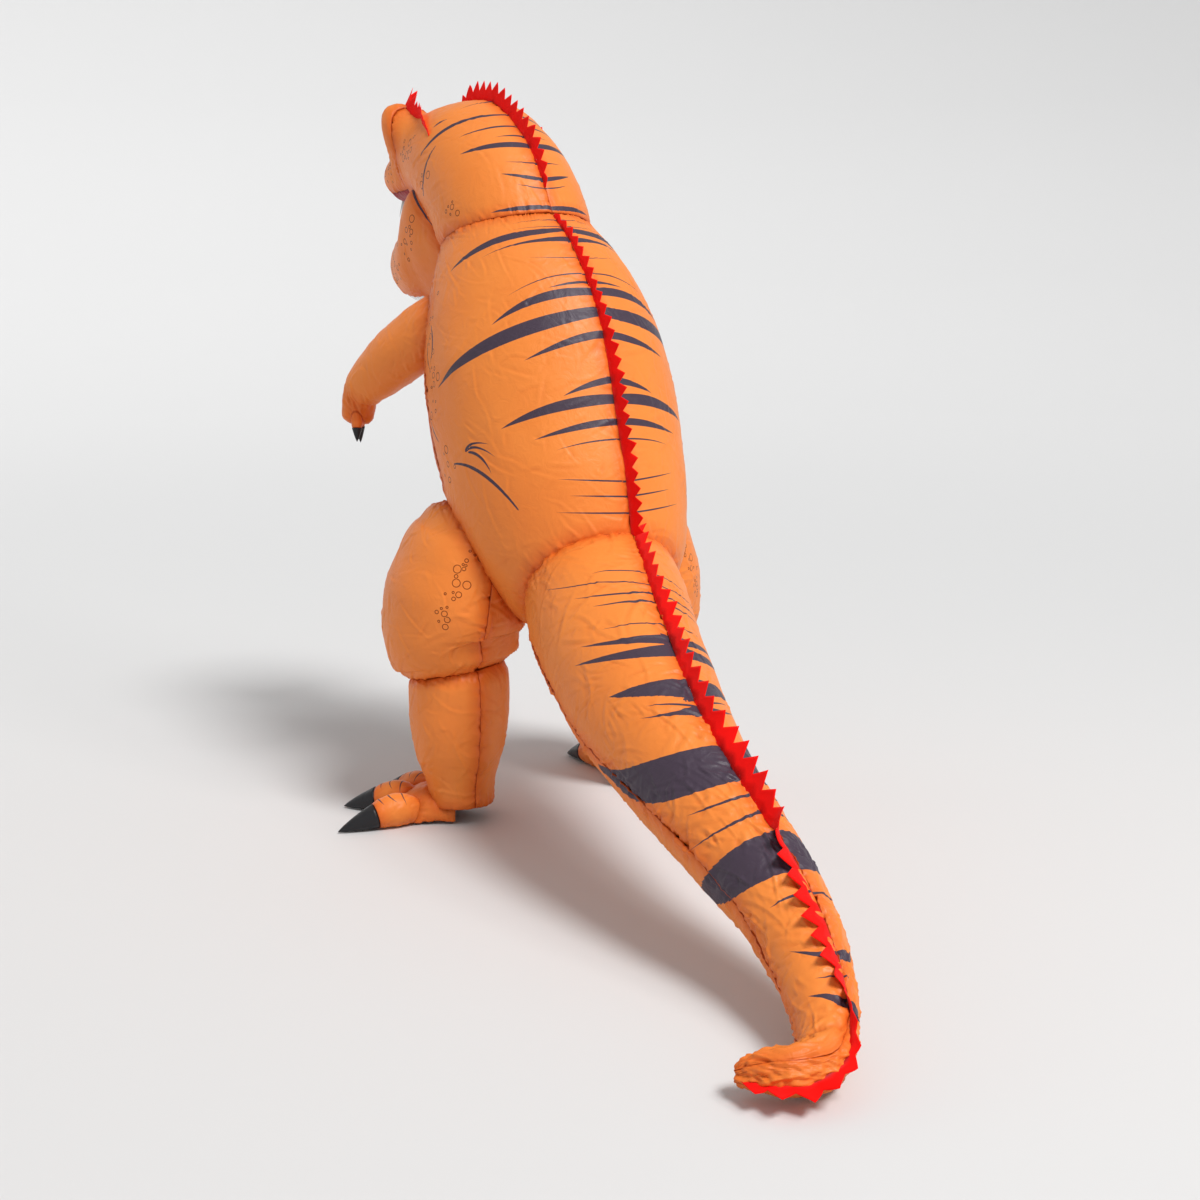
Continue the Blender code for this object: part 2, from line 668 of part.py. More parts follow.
def make_crests():
    crest("head_crest", HEAD, 270, SKULL_AT[1:9], 0.030)
    crest("back_crest", BODY, 270, BODY_AT[-2:5:-1], 0.036, spikes=3)
    rows = TAIL_AT[3:-1]
    flop = SMALL_STEP * np.clip(np.arange(len(rows)) - TAIL_CREST_FLOPS, 0, 4)
    crest("tail_crest", TAIL, 90 + flop, rows, 0.042, lift=TAIL_CREST_LIFT)
    for side, turn in BROW_CREST_TURNS.items():
        crest(f"brow_crest_{side}", HEAD, turn, SKULL_AT[5:], 0.034)


def lip_line(form, left, right, rows, lean, lift, step):
    """A line along the left lip, round the front and back along the right, and the teeth's way."""
    front = np.linspace(left, right, round(abs(right - left) / step) + 1)[1:-1]
    turns = np.concatenate([np.full(len(rows), float(left)), front, np.full(len(rows), float(right))])
    places = np.concatenate([rows, np.full(len(front), rows[-1]), rows[::-1]])
    base, out = over_panel(form, turns, places, 1, lift)
    return base, unit(out + np.array([0, 0, lean]))


def make_teeth():
    base, down = lip_line(HEAD, 54, 126, MUZZLE_AT[3:-1], -1.5, TOOTH_LIFT, STEP)
    serrated("upper_teeth", "tooth", base, down, 0.045, low=0.005)
    base, up = lip_line(JAW, 292.5, 247.5, JAW_AT[4:-1], 1.5, TOOTH_LIFT, SMALL_STEP)
    serrated("lower_teeth", "tooth", base, up, 0.030, low=0.005)


# Hard pieces: the zip's slider and pull, and the blower


def block(name, size, centre, frame=None):
    mesh = bpy.data.meshes.new(name)
    made = bpy.data.objects.new(name, mesh)
    CUTTERS.objects.link(made)
    work = bmesh.new()
    bmesh.ops.create_cube(work, size=1.0)
    bmesh.ops.scale(work, vec=size, verts=work.verts)
    bmesh.ops.translate(work, vec=centre, verts=work.verts)
    work.to_mesh(mesh)
    work.free()
    if frame is not None:
        mesh.transform(frame)
    return made


def rod(name, radius, length, centre, turned=None, sides=16):
    mesh = bpy.data.meshes.new(name)
    made = bpy.data.objects.new(name, mesh)
    CUTTERS.objects.link(made)
    work = bmesh.new()
    bmesh.ops.create_cone(work, cap_ends=True, segments=sides, radius1=radius, radius2=radius, depth=length)
    if turned is not None:
        bmesh.ops.transform(work, matrix=turned, verts=work.verts)
    bmesh.ops.translate(work, vec=centre, verts=work.verts)
    work.to_mesh(mesh)
    work.free()
    return made


def joined(name, slot, first, added=(), removed=()):
    """One solid from simple ones: first with added united to it, then removed cut away."""
    cut(first, *added, operation="UNION")
    cut(first, *removed)
    bpy.context.view_layer.update()
    graph = bpy.context.evaluated_depsgraph_get()
    mesh = bpy.data.meshes.new_from_object(first.evaluated_get(graph))
    mesh.name = name
    mesh.materials.clear()
    mesh.materials.append(material(slot))
    for tool in (first, *added, *removed):
        bpy.data.objects.remove(tool, do_unlink=True)
    made = bpy.data.objects.new(name, mesh)
    COSTUME.objects.link(made)
    made.parent = HELD
    return made


ZIP_TURN = 90
ZIP_ROWS = (4.2, 8.0)
ZIP_HALF = 3.2          # degrees either side of the seam
ZIP_LIFT = 0.0024       # tape and teeth over the belly's panels
TAPE = 0.0015
SLIDER_ROW = 7.9
PIN_OUT = 0.0052        # pull's pin over the slider's back


def surface_frame(form, turn, row, lift):
    """A frame on a form: x across, y up along the seam, z out, from a point lifted off it."""
    turn, row = np.array([float(turn)]), np.array([float(row)])
    out = Vector(form.normal(turn, row)[0])
    up = Vector(form.point(turn, row + 0.05)[0] - form.point(turn, row - 0.05)[0])
    up = (up - up.dot(out) * out).normalized()
    across = up.cross(out).normalized()
    at = Vector(form.point(turn, row)[0]) + lift * out
    turned = Matrix((across, up, out)).transposed().to_4x4()
    return Matrix.Translation(at) @ turned


def make_zip():
    rows = BODY_AT[(BODY_AT > ZIP_ROWS[0]) & (BODY_AT < ZIP_ROWS[1])]
    rows = np.concatenate([[ZIP_ROWS[0]], rows, [ZIP_ROWS[1]]])
    turns = np.linspace(ZIP_TURN - ZIP_HALF, ZIP_TURN + ZIP_HALF, 3)
    wall("zip_tape", "zip", BODY, turns, rows, lift=ZIP_LIFT, thick=TAPE)
    frame = surface_frame(BODY, ZIP_TURN, SLIDER_ROW, ZIP_LIFT + 2 * GAP)
    sideways = Matrix.Rotation(math.pi / 2, 4, "Y")
    pin_y = 0.004
    ears = [
        block(f"ear_{number}", (0.0014, 0.004, 0.006), (x, pin_y, 0.0055))
        for number, x in enumerate((-0.0042, 0.0042))
    ]
    pin = rod("pin", 0.0008, 0.0078, (0, pin_y, PIN_OUT + 0.0016), sideways)
    base = block("slider", (0.012, 0.016, 0.0032), (0, 0, 0.0016))
    slider = joined("zip_slider", "plastic", base, [*ears, pin])
    slider.matrix_parent_inverse = Matrix.Identity(4)
    slider.matrix_basis = frame
    eye = rod("eye", 0.0022, 0.0060, (0, 0, 0), sideways)
    tab = block("tab", (0.0060, 0.0300, 0.0016), (0, -0.0160, 0))
    hole = rod("hole", 0.0011, 0.0080, (0, 0, 0), sideways)
    pull = joined("zip_pull", "plastic", eye, [tab], [hole])
    pull.matrix_basis = frame @ Matrix.Translation((0, pin_y, PIN_OUT + 0.0016))


BLOWER = {"turn": 140, "row": 6.1, "barrel": 0.0565, "bore": 0.0500, "flange": 0.0660, "deep": 0.030}
BLADES = 7


def make_blower(panel):
    """A fan in the belly's right side: a barrel with a guard, and a rotor on its pin."""
    frame = surface_frame(BODY, BLOWER["turn"], BLOWER["row"], 0.0)
    barrel, bore, flange, deep = (BLOWER[name] for name in ("barrel", "bore", "flange", "deep"))
    face = 0.0045
    body = rod("barrel", barrel, deep + face, (0, 0, (face - deep) / 2), sides=20)
    rim = rod("rim", flange, 0.003, (0, 0, face - 0.0015), sides=20)
    inside = rod("inside", bore, deep + 0.02, (0, 0, -deep / 2), sides=20)
    ring = joined("ring", "plastic", body, [rim], [inside])
    spokes = []
    for number in range(3):
        turned = Matrix.Rotation(math.pi * number / 3, 4, "Z")
        size = (2 * bore + 0.004, 0.0034, 0.003)
        spokes.append(block(f"spoke_{number}", size, (0, 0, face - 0.0015), turned))
    boss = rod("boss", 0.014, 0.006, (0, 0, face - 0.003), sides=16)
    pin = rod("rotor_pin", 0.003, 0.024, (0, 0, face - 0.006 - 0.0115), sides=10)
    ring.parent = None
    housing = joined("blower_housing", "plastic", ring, [*spokes, boss, pin])
    housing.matrix_basis = frame
    hub = rod("hub", 0.013, 0.016, (0, 0, 0), sides=14)
    blades = []
    for number in range(BLADES):
        turned = Matrix.Rotation(2 * math.pi * number / BLADES, 4, "Z")
        pitch = Matrix.Rotation(math.radians(35), 4, "X")
        blades.append(block(f"blade_{number}", (0.036, 0.018, 0.0016), (0, 0, 0),
                            turned @ Matrix.Translation((0.0285, 0, 0)) @ pitch))
    hub_bore = rod("hub_bore", 0.0035, 0.02, (0, 0, 0), sides=10)
    rotor = joined("blower_rotor", "plastic", hub, blades, [hub_bore])
    rotor.matrix_basis = frame @ Matrix.Translation((0, 0, -0.0115))
    hole = rod("blower_hole", barrel + GAP, 0.08, (0, 0, -0.01), sides=20)
    hole.data.transform(frame)
    hole.parent = HELD
    hidden(hole)
    cut(panel, hole)


def main():
    body, head, tail = make_body(), make_head(), make_tail()
    body_ring = around(*BODY_SEAMS.values(), step=STEP)
    head_ring = around((0, 360), step=STEP)
    body_inside = volume("body_inside", BODY, body_ring, BODY_AT, -WALL - GAP)
    head_at = np.concatenate([SKULL_AT[1:], MUZZLE_AT[1:]])
    trunk_inside = volume("trunk_inside", BODY, head_ring, BODY_AT, -WALL, beyond=(HEAD, head_at))
    jaw_ring = around(*JAW_SEAMS.values(), step=SMALL_STEP)
    jaw_outside = volume("jaw_outside", JAW, jaw_ring, JAW_AT, GAP)
    tail_ring = around(*TAIL_SEAMS.values(), step=SMALL_STEP)
    tail_outside = volume("tail_outside", TAIL, tail_ring, TAIL_AT, GAP)

    for name in JAW_SEAMS:
        cut(head[name], trunk_inside)
    make_window(head["jaw"])
    for name in SKULL_SEAMS:
        cut(head[name], jaw_outside)
    for side in ("left", "right"):
        cut(body[f"belly_{side}"], jaw_outside)
        cut(body[f"back_{side}"], tail_outside)

    for side in ("left", "right"):
        panels, thigh, shin = make_leg(side)
        leg_ring = around(*LEG_SEAMS, step=SMALL_STEP)
        thigh_outside = volume(f"thigh_outside_{side}", thigh, leg_ring, THIGH_AT, GAP)
        for name, panel in panels.items():
            if name.startswith("thigh"):
                cut(panel, body_inside)
        cut(body[f"belly_{side}"], thigh_outside)
        cut(body[f"back_{side}"], thigh_outside)
        make_foot(side, shin, [panel for name, panel in panels.items() if name.startswith("shin")])
        sleeve, arm_outside = make_arm(side)
        cut(sleeve, body_inside)
        cut(body[f"belly_{side}"], arm_outside)
        cut(body[f"back_{side}"], arm_outside)
    for piece in tail.values():
        cut(piece, body_inside)
    make_crests()
    make_teeth()
    make_zip()
    make_blower(body["belly_right"])


main()
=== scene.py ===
"""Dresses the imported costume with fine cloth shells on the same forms, their seams, puckers and prints."""
import math

import bpy
import numpy as np
from mathutils import Matrix, Vector
from mathutils.bvhtree import BVHTree


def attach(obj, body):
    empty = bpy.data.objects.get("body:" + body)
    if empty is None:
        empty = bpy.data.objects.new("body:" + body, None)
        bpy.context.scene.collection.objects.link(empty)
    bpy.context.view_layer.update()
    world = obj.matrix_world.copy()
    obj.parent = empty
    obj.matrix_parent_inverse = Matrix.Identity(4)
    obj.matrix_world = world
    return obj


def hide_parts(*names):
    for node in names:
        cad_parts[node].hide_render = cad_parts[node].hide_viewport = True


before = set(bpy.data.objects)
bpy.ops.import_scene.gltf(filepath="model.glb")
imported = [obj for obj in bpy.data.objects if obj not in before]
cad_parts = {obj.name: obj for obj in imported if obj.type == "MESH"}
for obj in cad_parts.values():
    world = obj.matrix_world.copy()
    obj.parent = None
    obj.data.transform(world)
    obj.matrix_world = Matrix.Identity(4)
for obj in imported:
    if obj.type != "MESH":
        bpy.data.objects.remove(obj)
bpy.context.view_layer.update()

# Sizes in metres, with heights above the floor. Turns are degrees round a form, and rows count along it
SHOULDERS = np.array([0.0, -0.16, 1.42])
GAP = 0.0003
HIP_X = {"left": 0.285, "right": 0.34}
LEG_Y = {"left": -0.18, "right": -0.23}
FOOT_YAW = {"left": 48, "right": 25}
TOE_SPLAY = {"outer": 36, "middle": -1, "inner": -32}
CLAW_END = 0.374
TOE_LIFT = 0.002


def metres(*rows):
    """Rows of a table that are given in millimetres."""
    return [tuple(value / 1000 for value in row) for row in rows]


PROFILE = "low_y low_z high_y high_z half_width"
PATH = "x y z side fore aft"

BODY_ROWS = metres(
    (-12, 575, 30, 572, 20),
    (-100, 585, 130, 583, 100),
    (-195, 630, 230, 625, 190),
    (-272, 710, 300, 705, 262),
    (-345, 830, 328, 840, 320),
    (-415, 980, 304, 1000, 345),
    (-475, 1130, 250, 1180, 356),
    (-517, 1270, 192, 1360, 346),
    (-550, 1410, 108, 1520, 312),
    (-566, 1530, 3, 1650, 268),
    (-575, 1625, -120, 1745, 218),
)
HEAD_ROWS = metres(
    (-575, 1625, -120, 1745, 218),
    (-598, 1645, -178, 1840, 226),
    (-618, 1668, -264, 1942, 226),
    (-645, 1695, -388, 2030, 224),
    (-680, 1730, -520, 2088, 218),
    (-725, 1765, -645, 2098, 205),
    (-785, 1785, -755, 2052, 194),
    (-870, 1793, -850, 2010, 184),
    (-955, 1798, -948, 1990, 168),
    (-1015, 1813, -1012, 1958, 134),
    (-1048, 1850, -1048, 1922, 80),
    (-1060, 1885, -1060, 1893, 12),
)
JAW_ROWS = metres(
    (-450, 1470, -480, 1800, 150),
    (-560, 1468, -590, 1870, 184),
    (-660, 1468, -680, 1870, 198),
    (-765, 1472, -775, 1750, 196),
    (-870, 1480, -890, 1748, 176),
    (-960, 1496, -975, 1712, 142),
    (-1015, 1530, -1023, 1668, 90),
    (-1037, 1580, -1038, 1600, 14),
)
TAIL_ROWS = metres(
    (0, 110, 755, 170, 170, 170),
    (18, 190, 722, 210, 205, 205),
    (63, 310, 672, 221, 208, 208),
    (139, 585, 545, 199, 188, 188),
    (177, 815, 439, 168, 163, 163),
    (188, 967, 370, 146, 144, 144),
    (194, 1138, 291, 126, 125, 125),
    (199, 1267, 232, 107, 110, 110),
    (218, 1400, 171, 90, 92, 92),
    (250, 1498, 126, 77, 79, 79),
    (294, 1585, 88, 66, 68, 68),
    (338, 1645, 70, 56, 62, 60),
    (390, 1686, 62, 47, 58, 55),
    (440, 1680, 62, 42, 56, 53),
    (482, 1650, 60, 34, 43, 43),
    (512, 1628, 55, 24, 30, 31),
    (530, 1615, 50, 12, 17, 16),
)
THIGH_ROWS = metres(
    (0, 0, 460, 132, 136, 126),
    (0, 0, 492, 172, 194, 166),
    (10, -10, 570, 198, 230, 207),
    (2, -4, 665, 198, 235, 222),
    (-12, 3, 765, 175, 211, 215),
    (-34, 13, 850, 144, 175, 190),
    (-44, 20, 912, 104, 130, 135),
    (-49, 20, 935, 30, 40, 40),
)
SHIN_ROWS = metres(
    (0, 10, 45, 90, 92, 92),
    (0, 5, 110, 100, 104, 102),
    (0, 0, 220, 134, 136, 136),
    (0, 0, 330, 147, 150, 148),
    (0, 0, 415, 146, 150, 145),
    (0, 0, 460, 132, 136, 126),
)
FOOT_ROWS = metres(
    (0, 12, 70, 100, 12),
    (70, 12, 90, 94, 12),
    (130, 12, 104, 80, 12),
    (165, 12, 96, 62, 12),
    (183, 12, 70, 38, 12),
    (190, 12, 20, 14, 6),
)
TOE_ROWS = metres(
    (145, 32, 36),
    (170, 38, 44),
    (200, 44, 48),
    (240, 40, 42),
    (262, 37, 37),
)
ARM_ROWS = metres(
    (200, -300, 1455, 86, 90, 86),
    (253, -398, 1415, 90, 94, 90),
    (305, -488, 1356, 87, 88, 88),
    (349, -568, 1293, 77, 77, 79),
    (377, -619, 1246, 64, 64, 65),
    (389, -643, 1208, 53, 52, 55),
    (395, -652, 1152, 45, 48, 47),
    (397, -655, 1130, 14, 14, 14),
)
WRIST = (0.393, -0.648)
FINGERS = {"front": (-0.010, -0.020), "rear": (0.011, 0.020)}
FINGER_CLAW_Z = {"front": 1.072, "rear": 1.082}
FINGER_ROWS = ((0, 1.215, 0.020), (0.4, 1.165, 0.023), (1, 1.122, 0.016))
BROW = {"row": 6.35, "turns": (-44, 224), "rise": 0.115, "rows": 0.62, "spread": 24}
CHEEK = {"row": 2.3, "turns": (318, 222), "rise": 0.050, "rows": 1.1, "spread": 30}

# Printed strokes, tip to ridge: turn and row of the start, middle and end, and half widths there in mm
HEAD_STROKES = (
    (300, 3.72, 285, 3.72, 268, 3.80, 0, 2, 3),
    (325, 3.70, 319, 3.66, 313, 3.58, 1, 4, 0),
    (349, 3.46, 314, 3.25, 268, 3.00, 1, 7, 3),
    (315, 2.73, 291, 2.64, 268, 2.59, 0, 4, 4),
    (292, 2.30, 280, 2.28, 268, 2.22, 0, 3, 4),
    (321, 2.26, 297, 2.08, 268, 1.93, 0, 10, 10),
    (294, 1.55, 281, 1.47, 268, 1.41, 0, 2, 4),
    (299, 1.26, 284, 1.08, 268, 0.95, 0, 6, 7),
    (291, 0.90, 279, 0.76, 268, 0.72, 0, 2, 2),
    (315, 0.19, 292, 0.16, 268, 0.12, 0, 7, 6),
    (333, 3.08, 352, 2.95, 372, 2.60, 1, 4, 3),
)
JAW_STROKES = (
    (309, 2.50, 324, 1.75, 344, 0.80, 3, 4, 1),
)
BODY_STROKES = (
    (303, 9.72, 288, 9.78, 268, 9.76, 0, 1, 2),
    (304, 9.54, 288, 9.58, 268, 9.56, 0, 1, 2),
    (349, 8.80, 316, 9.28, 268, 9.46, 0, 13, 9),
    (325, 8.93, 296, 9.16, 268, 9.17, 0, 5, 14),
    (300, 8.79, 285, 8.74, 268, 8.72, 0, 1, 2),
    (313, 8.06, 290, 8.34, 268, 8.36, 0, 2, 2),
    (292, 8.14, 280, 8.20, 268, 8.22, 0, 4, 4),
    (322, 7.58, 297, 7.96, 268, 8.02, 0, 13, 11),
    (359, 6.66, 318, 7.34, 268, 7.68, 0, 20, 14),
    (308, 6.96, 286, 7.22, 268, 7.30, 0, 10, 10),
    (293, 6.41, 280, 6.56, 268, 6.62, 0, 8, 9),
    (322, 5.96, 296, 6.26, 268, 6.34, 0, 14, 12),
    (308, 5.79, 286, 5.97, 268, 6.01, 0, 9, 8),
    (299, 5.64, 284, 5.74, 268, 5.76, 0, 2, 2),
    (301, 5.22, 285, 5.19, 268, 5.15, 0, 2, 2),
    (297, 4.97, 283, 4.95, 268, 4.92, 0, 2, 2),
    (304, 4.71, 286, 4.69, 268, 4.66, 0, 2, 2),
    (344, 5.63, 338, 5.75, 329, 5.74, 4, 3, 0),
    (344, 5.63, 336, 5.69, 327, 5.55, 4, 3, 0),
    (342, 5.62, 335, 5.54, 331, 5.30, 3, 4, 0),
    (355, 5.42, 336, 5.29, 321, 4.74, 2, 5, 2),
    (366, 7.80, 363, 7.45, 367, 7.10, 1, 4, 0),
    (367, 7.62, 371, 7.30, 367, 6.95, 0, 2, 0),
    (374, 6.15, 370, 5.90, 366, 5.75, 0, 3, 0),
)
TAIL_STROKES = (
    (68, 2.33, 80, 2.35, 92, 2.36, 0, 2, 2),
    (32, 2.15, 58, 2.42, 92, 2.50, 0, 2, 2),
    (50, 2.49, 72, 2.60, 92, 2.60, 0, 3, 3),
    (60, 2.65, 76, 2.70, 92, 2.70, 0, 3, 3),
    (59, 2.90, 76, 2.96, 92, 2.98, 0, 2, 2),
    (38, 2.92, 70, 3.15, 92, 3.18, 0, 11, 20),
    (26, 3.02, 66, 3.31, 92, 3.31, 0, 15, 24),
    (37, 3.59, 62, 3.77, 92, 3.92, 0, 20, 36),
    (57, 3.95, 74, 4.08, 88, 4.20, 0, 3, 4),
    (47, 4.04, 72, 4.24, 92, 4.27, 0, 7, 20),
    (340, 3.80, 380, 4.93, 452, 5.27, 4, 50, 54),
    (27, 5.59, 58, 5.75, 92, 5.78, 0, 3, 4),
    (3, 5.89, 50, 6.09, 92, 6.08, 0, 3, 5),
    (318, 6.22, 380, 6.77, 452, 6.88, 14, 46, 56),
    (44, 7.66, 68, 7.66, 92, 7.66, 0, 3, 3),
)
TAIL_END_STROKES = (
    (46, 8.66, 92, 8.98, 142, 8.80, 0, 7, 15),
    (73, 9.48, 100, 9.46, 132, 9.34, 0, 2, 2),
    (56, 9.86, 100, 10.06, 142, 10.10, 0, 9, 18),
)
TOE_STROKES = (
    (25, 1.3, 90, 1.7, 150, 1.5, 0, 2, 0),
    (35, 2.1, 90, 2.4, 140, 2.1, 0, 2, 0),
    (20, 2.8, 80, 3.1, 130, 2.9, 0, 2, 0),
)
# Clusters of printed scales: form, middle turn and row, spread in degrees and rows, how many
SCALES = {
    "thigh": ((305, 2.9, 4, 0.5, 20), (297, 3.9, 4, 0.5, 18), (286, 4.9, 4, 0.4, 12)),
    "head": ((343, 0.90, 5, 0.45, 16), (352, 4.9, 7, 0.6, 16), (0, 2.7, 5, 0.3, 8), (355, 7.4, 9, 0.7, 14)),
    "jaw": ((355, 2.2, 10, 0.7, 20), (5, 3.9, 12, 0.8, 20)),
    "body": ((6, 7.6, 5, 1.0, 18), (4, 5.9, 5, 0.8, 12)),
}


def lengths(vectors):
    return np.linalg.norm(vectors, axis=-1)


def unit(vectors):
    return vectors / np.maximum(lengths(vectors), 1e-12)[..., None]


def hill(off):
    return np.exp(-(off ** 2))


def quads(index, closed=False):
    """The four-cornered faces of a grid of numbered points; closed joins its last column to its first."""
    if closed:
        index = np.concatenate([index, index[:, :1]], 1)
    return np.stack([index[:-1, :-1], index[1:, :-1], index[1:, 1:], index[:-1, 1:]], -1).reshape(-1, 4)


def eased(values, at):
    """A smooth curve through a column of a table, with no overshoot; at counts in rows."""
    steps = np.diff(values)
    slope = np.zeros(len(values))
    slope[0], slope[-1] = steps[0], steps[-1]
    before, after = steps[:-1], steps[1:]
    same = before * after > 0
    slope[1:-1][same] = 2 * before[same] * after[same] / (before + after)[same]
    row = np.clip(np.floor(at).astype(int), 0, len(values) - 2)
    t = at - row
    low, high = values[row], values[row + 1]
    bend = low * (1 + 2 * t) * (1 - t) ** 2 + high * t * t * (3 - 2 * t)
    return bend + slope[row] * t * (1 - t) ** 2 - slope[row + 1] * t * t * (1 - t)


NEAR_REACH = 0.12       # how far from a form points still get their distance from it
FAR = 0.5               # the distance of points beyond that


class Form:
    """An inflated round form: rings through the rows of a table, smooth along and around."""

    def __init__(self, columns, rows, facing=(1, 0, 0), bumps=None):
        self.rows = np.array(rows, float)
        self.columns = columns.split()
        self.facing = np.array(facing, float)
        self.bumps = bumps
        self.last = len(rows) - 1
        self.tree = None

    def column(self, name, at):
        return eased(self.rows[:, self.columns.index(name)], at)

    def rings(self, at):
        if "low_y" in self.columns:
            nothing = np.zeros_like(at)
            low = np.stack([nothing, self.column("low_y", at), self.column("low_z", at)], -1)
            high = np.stack([nothing, self.column("high_y", at), self.column("high_z", at)], -1)
            half = lengths(low - high) / 2
            side = np.broadcast_to(self.facing, low.shape)
            return (low + high) / 2, side, unit(low - high), self.column("half_width", at), half, half
        centre = self.path(at)
        ahead, behind = np.minimum(at + 0.05, self.last), np.maximum(at - 0.05, 0)
        travel = unit(self.path(ahead) - self.path(behind))
        along = np.sum(travel * self.facing, -1, keepdims=True)
        fore = unit(self.facing - along * travel)
        sizes = [self.column(name, at) for name in ("side", "fore", "aft")]
        return centre, np.cross(travel, fore), fore, *sizes

    def path(self, at):
        return np.stack([self.column(name, at) for name in "xyz"], -1)

    def surface(self, turn, at):
        centre, side, fore, wide, front, back = self.rings(at)
        angle = np.radians(turn)
        deep = np.where(np.sin(angle) > 0, front, back)
        return centre + (wide * np.cos(angle))[..., None] * side + (deep * np.sin(angle))[..., None] * fore

    def smooth_normal(self, turn, at, place):
        ahead, behind = np.minimum(at + 0.02, self.last), np.maximum(at - 0.02, 0)
        travel = place(turn, ahead) - place(turn, behind)
        return unit(np.cross(travel, place(turn + 0.5, at) - place(turn - 0.5, at)))

    def point(self, turn, at):
        turn, at = np.broadcast_arrays(np.asarray(turn, float), np.asarray(at, float))
        place = self.surface(turn, at)
        if self.bumps:
            place = place + self.bumps(turn, at)[..., None] * self.smooth_normal(turn, at, self.surface)
        return place

    def normal(self, turn, at):
        return self.smooth_normal(turn, at, self.point)

    def near(self, points):
        """Signed distance of points to the form, positive outside, and how far round it they are."""
        if self.tree is None:
            turns, rows = np.arange(0, 360, 6.0), np.linspace(0, self.last, 8 * self.last + 1)
            grid = self.point(*np.meshgrid(turns, rows))
            flat, wide = grid.reshape(-1, 3), len(turns)
            verts = [*map(tuple, flat), tuple(grid[0].mean(0)), tuple(grid[-1].mean(0))]
            faces = quads(np.arange(len(flat)).reshape(grid.shape[:2]), closed=True).tolist()
            top = len(flat) - wide
            for j in range(wide):
                k = (j + 1) % wide
                faces += [(len(flat), j, k), (len(flat) + 1, top + k, top + j)]
            self.round = np.concatenate([np.tile(turns, len(rows) - 1), np.repeat(turns, 2)])
            self.size = float(np.mean(self.rings(rows)[3]))
            self.box = flat.min(0) - NEAR_REACH, flat.max(0) + NEAR_REACH
            self.tree = BVHTree.FromPolygons(verts, faces)
        far, angle = np.full(len(points), FAR), np.zeros(len(points))
        close = np.all((points > self.box[0]) & (points < self.box[1]), -1)
        for index in np.flatnonzero(close):
            place = Vector(points[index])
            at, out, face, distance = self.tree.find_nearest(place)
            far[index] = distance if (place - at).dot(out) > 0 else -distance
            angle[index] = self.round[face]
        return far, angle


def swell(place):
    """A function that says how far a form swells at a place on its left and its right."""
    def rise(turn, at):
        total = 0
        for middle in place["turns"]:
            off_turn = (turn - middle + 180) % 360 - 180
            off_row = at - place["row"]
            total = total + np.exp(-((off_turn / place["spread"]) ** 2) - (off_row / place["rows"]) ** 2)
        return place["rise"] * total
    return rise


BODY = Form(PROFILE, BODY_ROWS)
HEAD = Form(PROFILE, HEAD_ROWS, bumps=swell(BROW))
JAW = Form(PROFILE, JAW_ROWS, bumps=swell(CHEEK))
TAIL = Form(PATH, TAIL_ROWS, facing=(0, 0, 1))


def noise(points, seed=0):
    """Smooth value noise from -1 to 1, the same each run."""
    cell = np.floor(points).astype(np.int64)
    part = points - cell
    part = part * part * (3 - 2 * part)
    total = 0
    for corner in range(8):
        bits = np.array([(corner >> axis) & 1 for axis in range(3)])
        at = cell + bits
        mixed = (at[..., 0] * 73856093) ^ (at[..., 1] * 19349663) ^ (at[..., 2] * 83492791)
        mixed = mixed ^ (seed * 26544357 + 77)
        mixed = ((mixed ^ (mixed >> 13)) * 1274126177) & 0xFFFFFF
        mixed = ((mixed ^ (mixed >> 9)) * 73244475) & 0xFFFFFF
        total = total + ((mixed >> 4) / 524288.0 - 1) * np.prod(np.where(bits, part, 1 - part), -1)
    return total


def mixed_noise(along, far, seed):
    return noise(np.stack([along, far, np.full_like(along, seed * 3.7)], -1), seed)


def seam_folds(far, along, seed, deep=0.0026, folds=0.0058, reach=0.042, pitch=0.018):
    """A sewn seam's dip and the puckers that spread from it. far is from the seam, along runs with it."""
    far = np.abs(far)
    dip = -deep * hill(far / 0.007)
    uneven = 0.65 + 0.5 * mixed_noise(along / (7 * pitch), far * 0, seed + 9)
    slant = along + 0.35 * far * mixed_noise(along / (5 * pitch), far * 0, seed + 8)
    large = 1 - 2 * np.abs(mixed_noise(slant / pitch, far / (5 * pitch), seed))
    small = 1 - 2 * np.abs(mixed_noise(slant / (0.42 * pitch), far / (2.5 * pitch), seed + 5))
    spread = folds * uneven * np.exp(-far / reach)
    return dip + 0.55 * spread * large + 0.30 * folds * uneven * np.exp(-far / (0.45 * reach)) * small


SHORTEST, LONGEST = 0.012, 0.12     # creases
BY_SEAM = 0.045                     # how far from a seam most of them lie


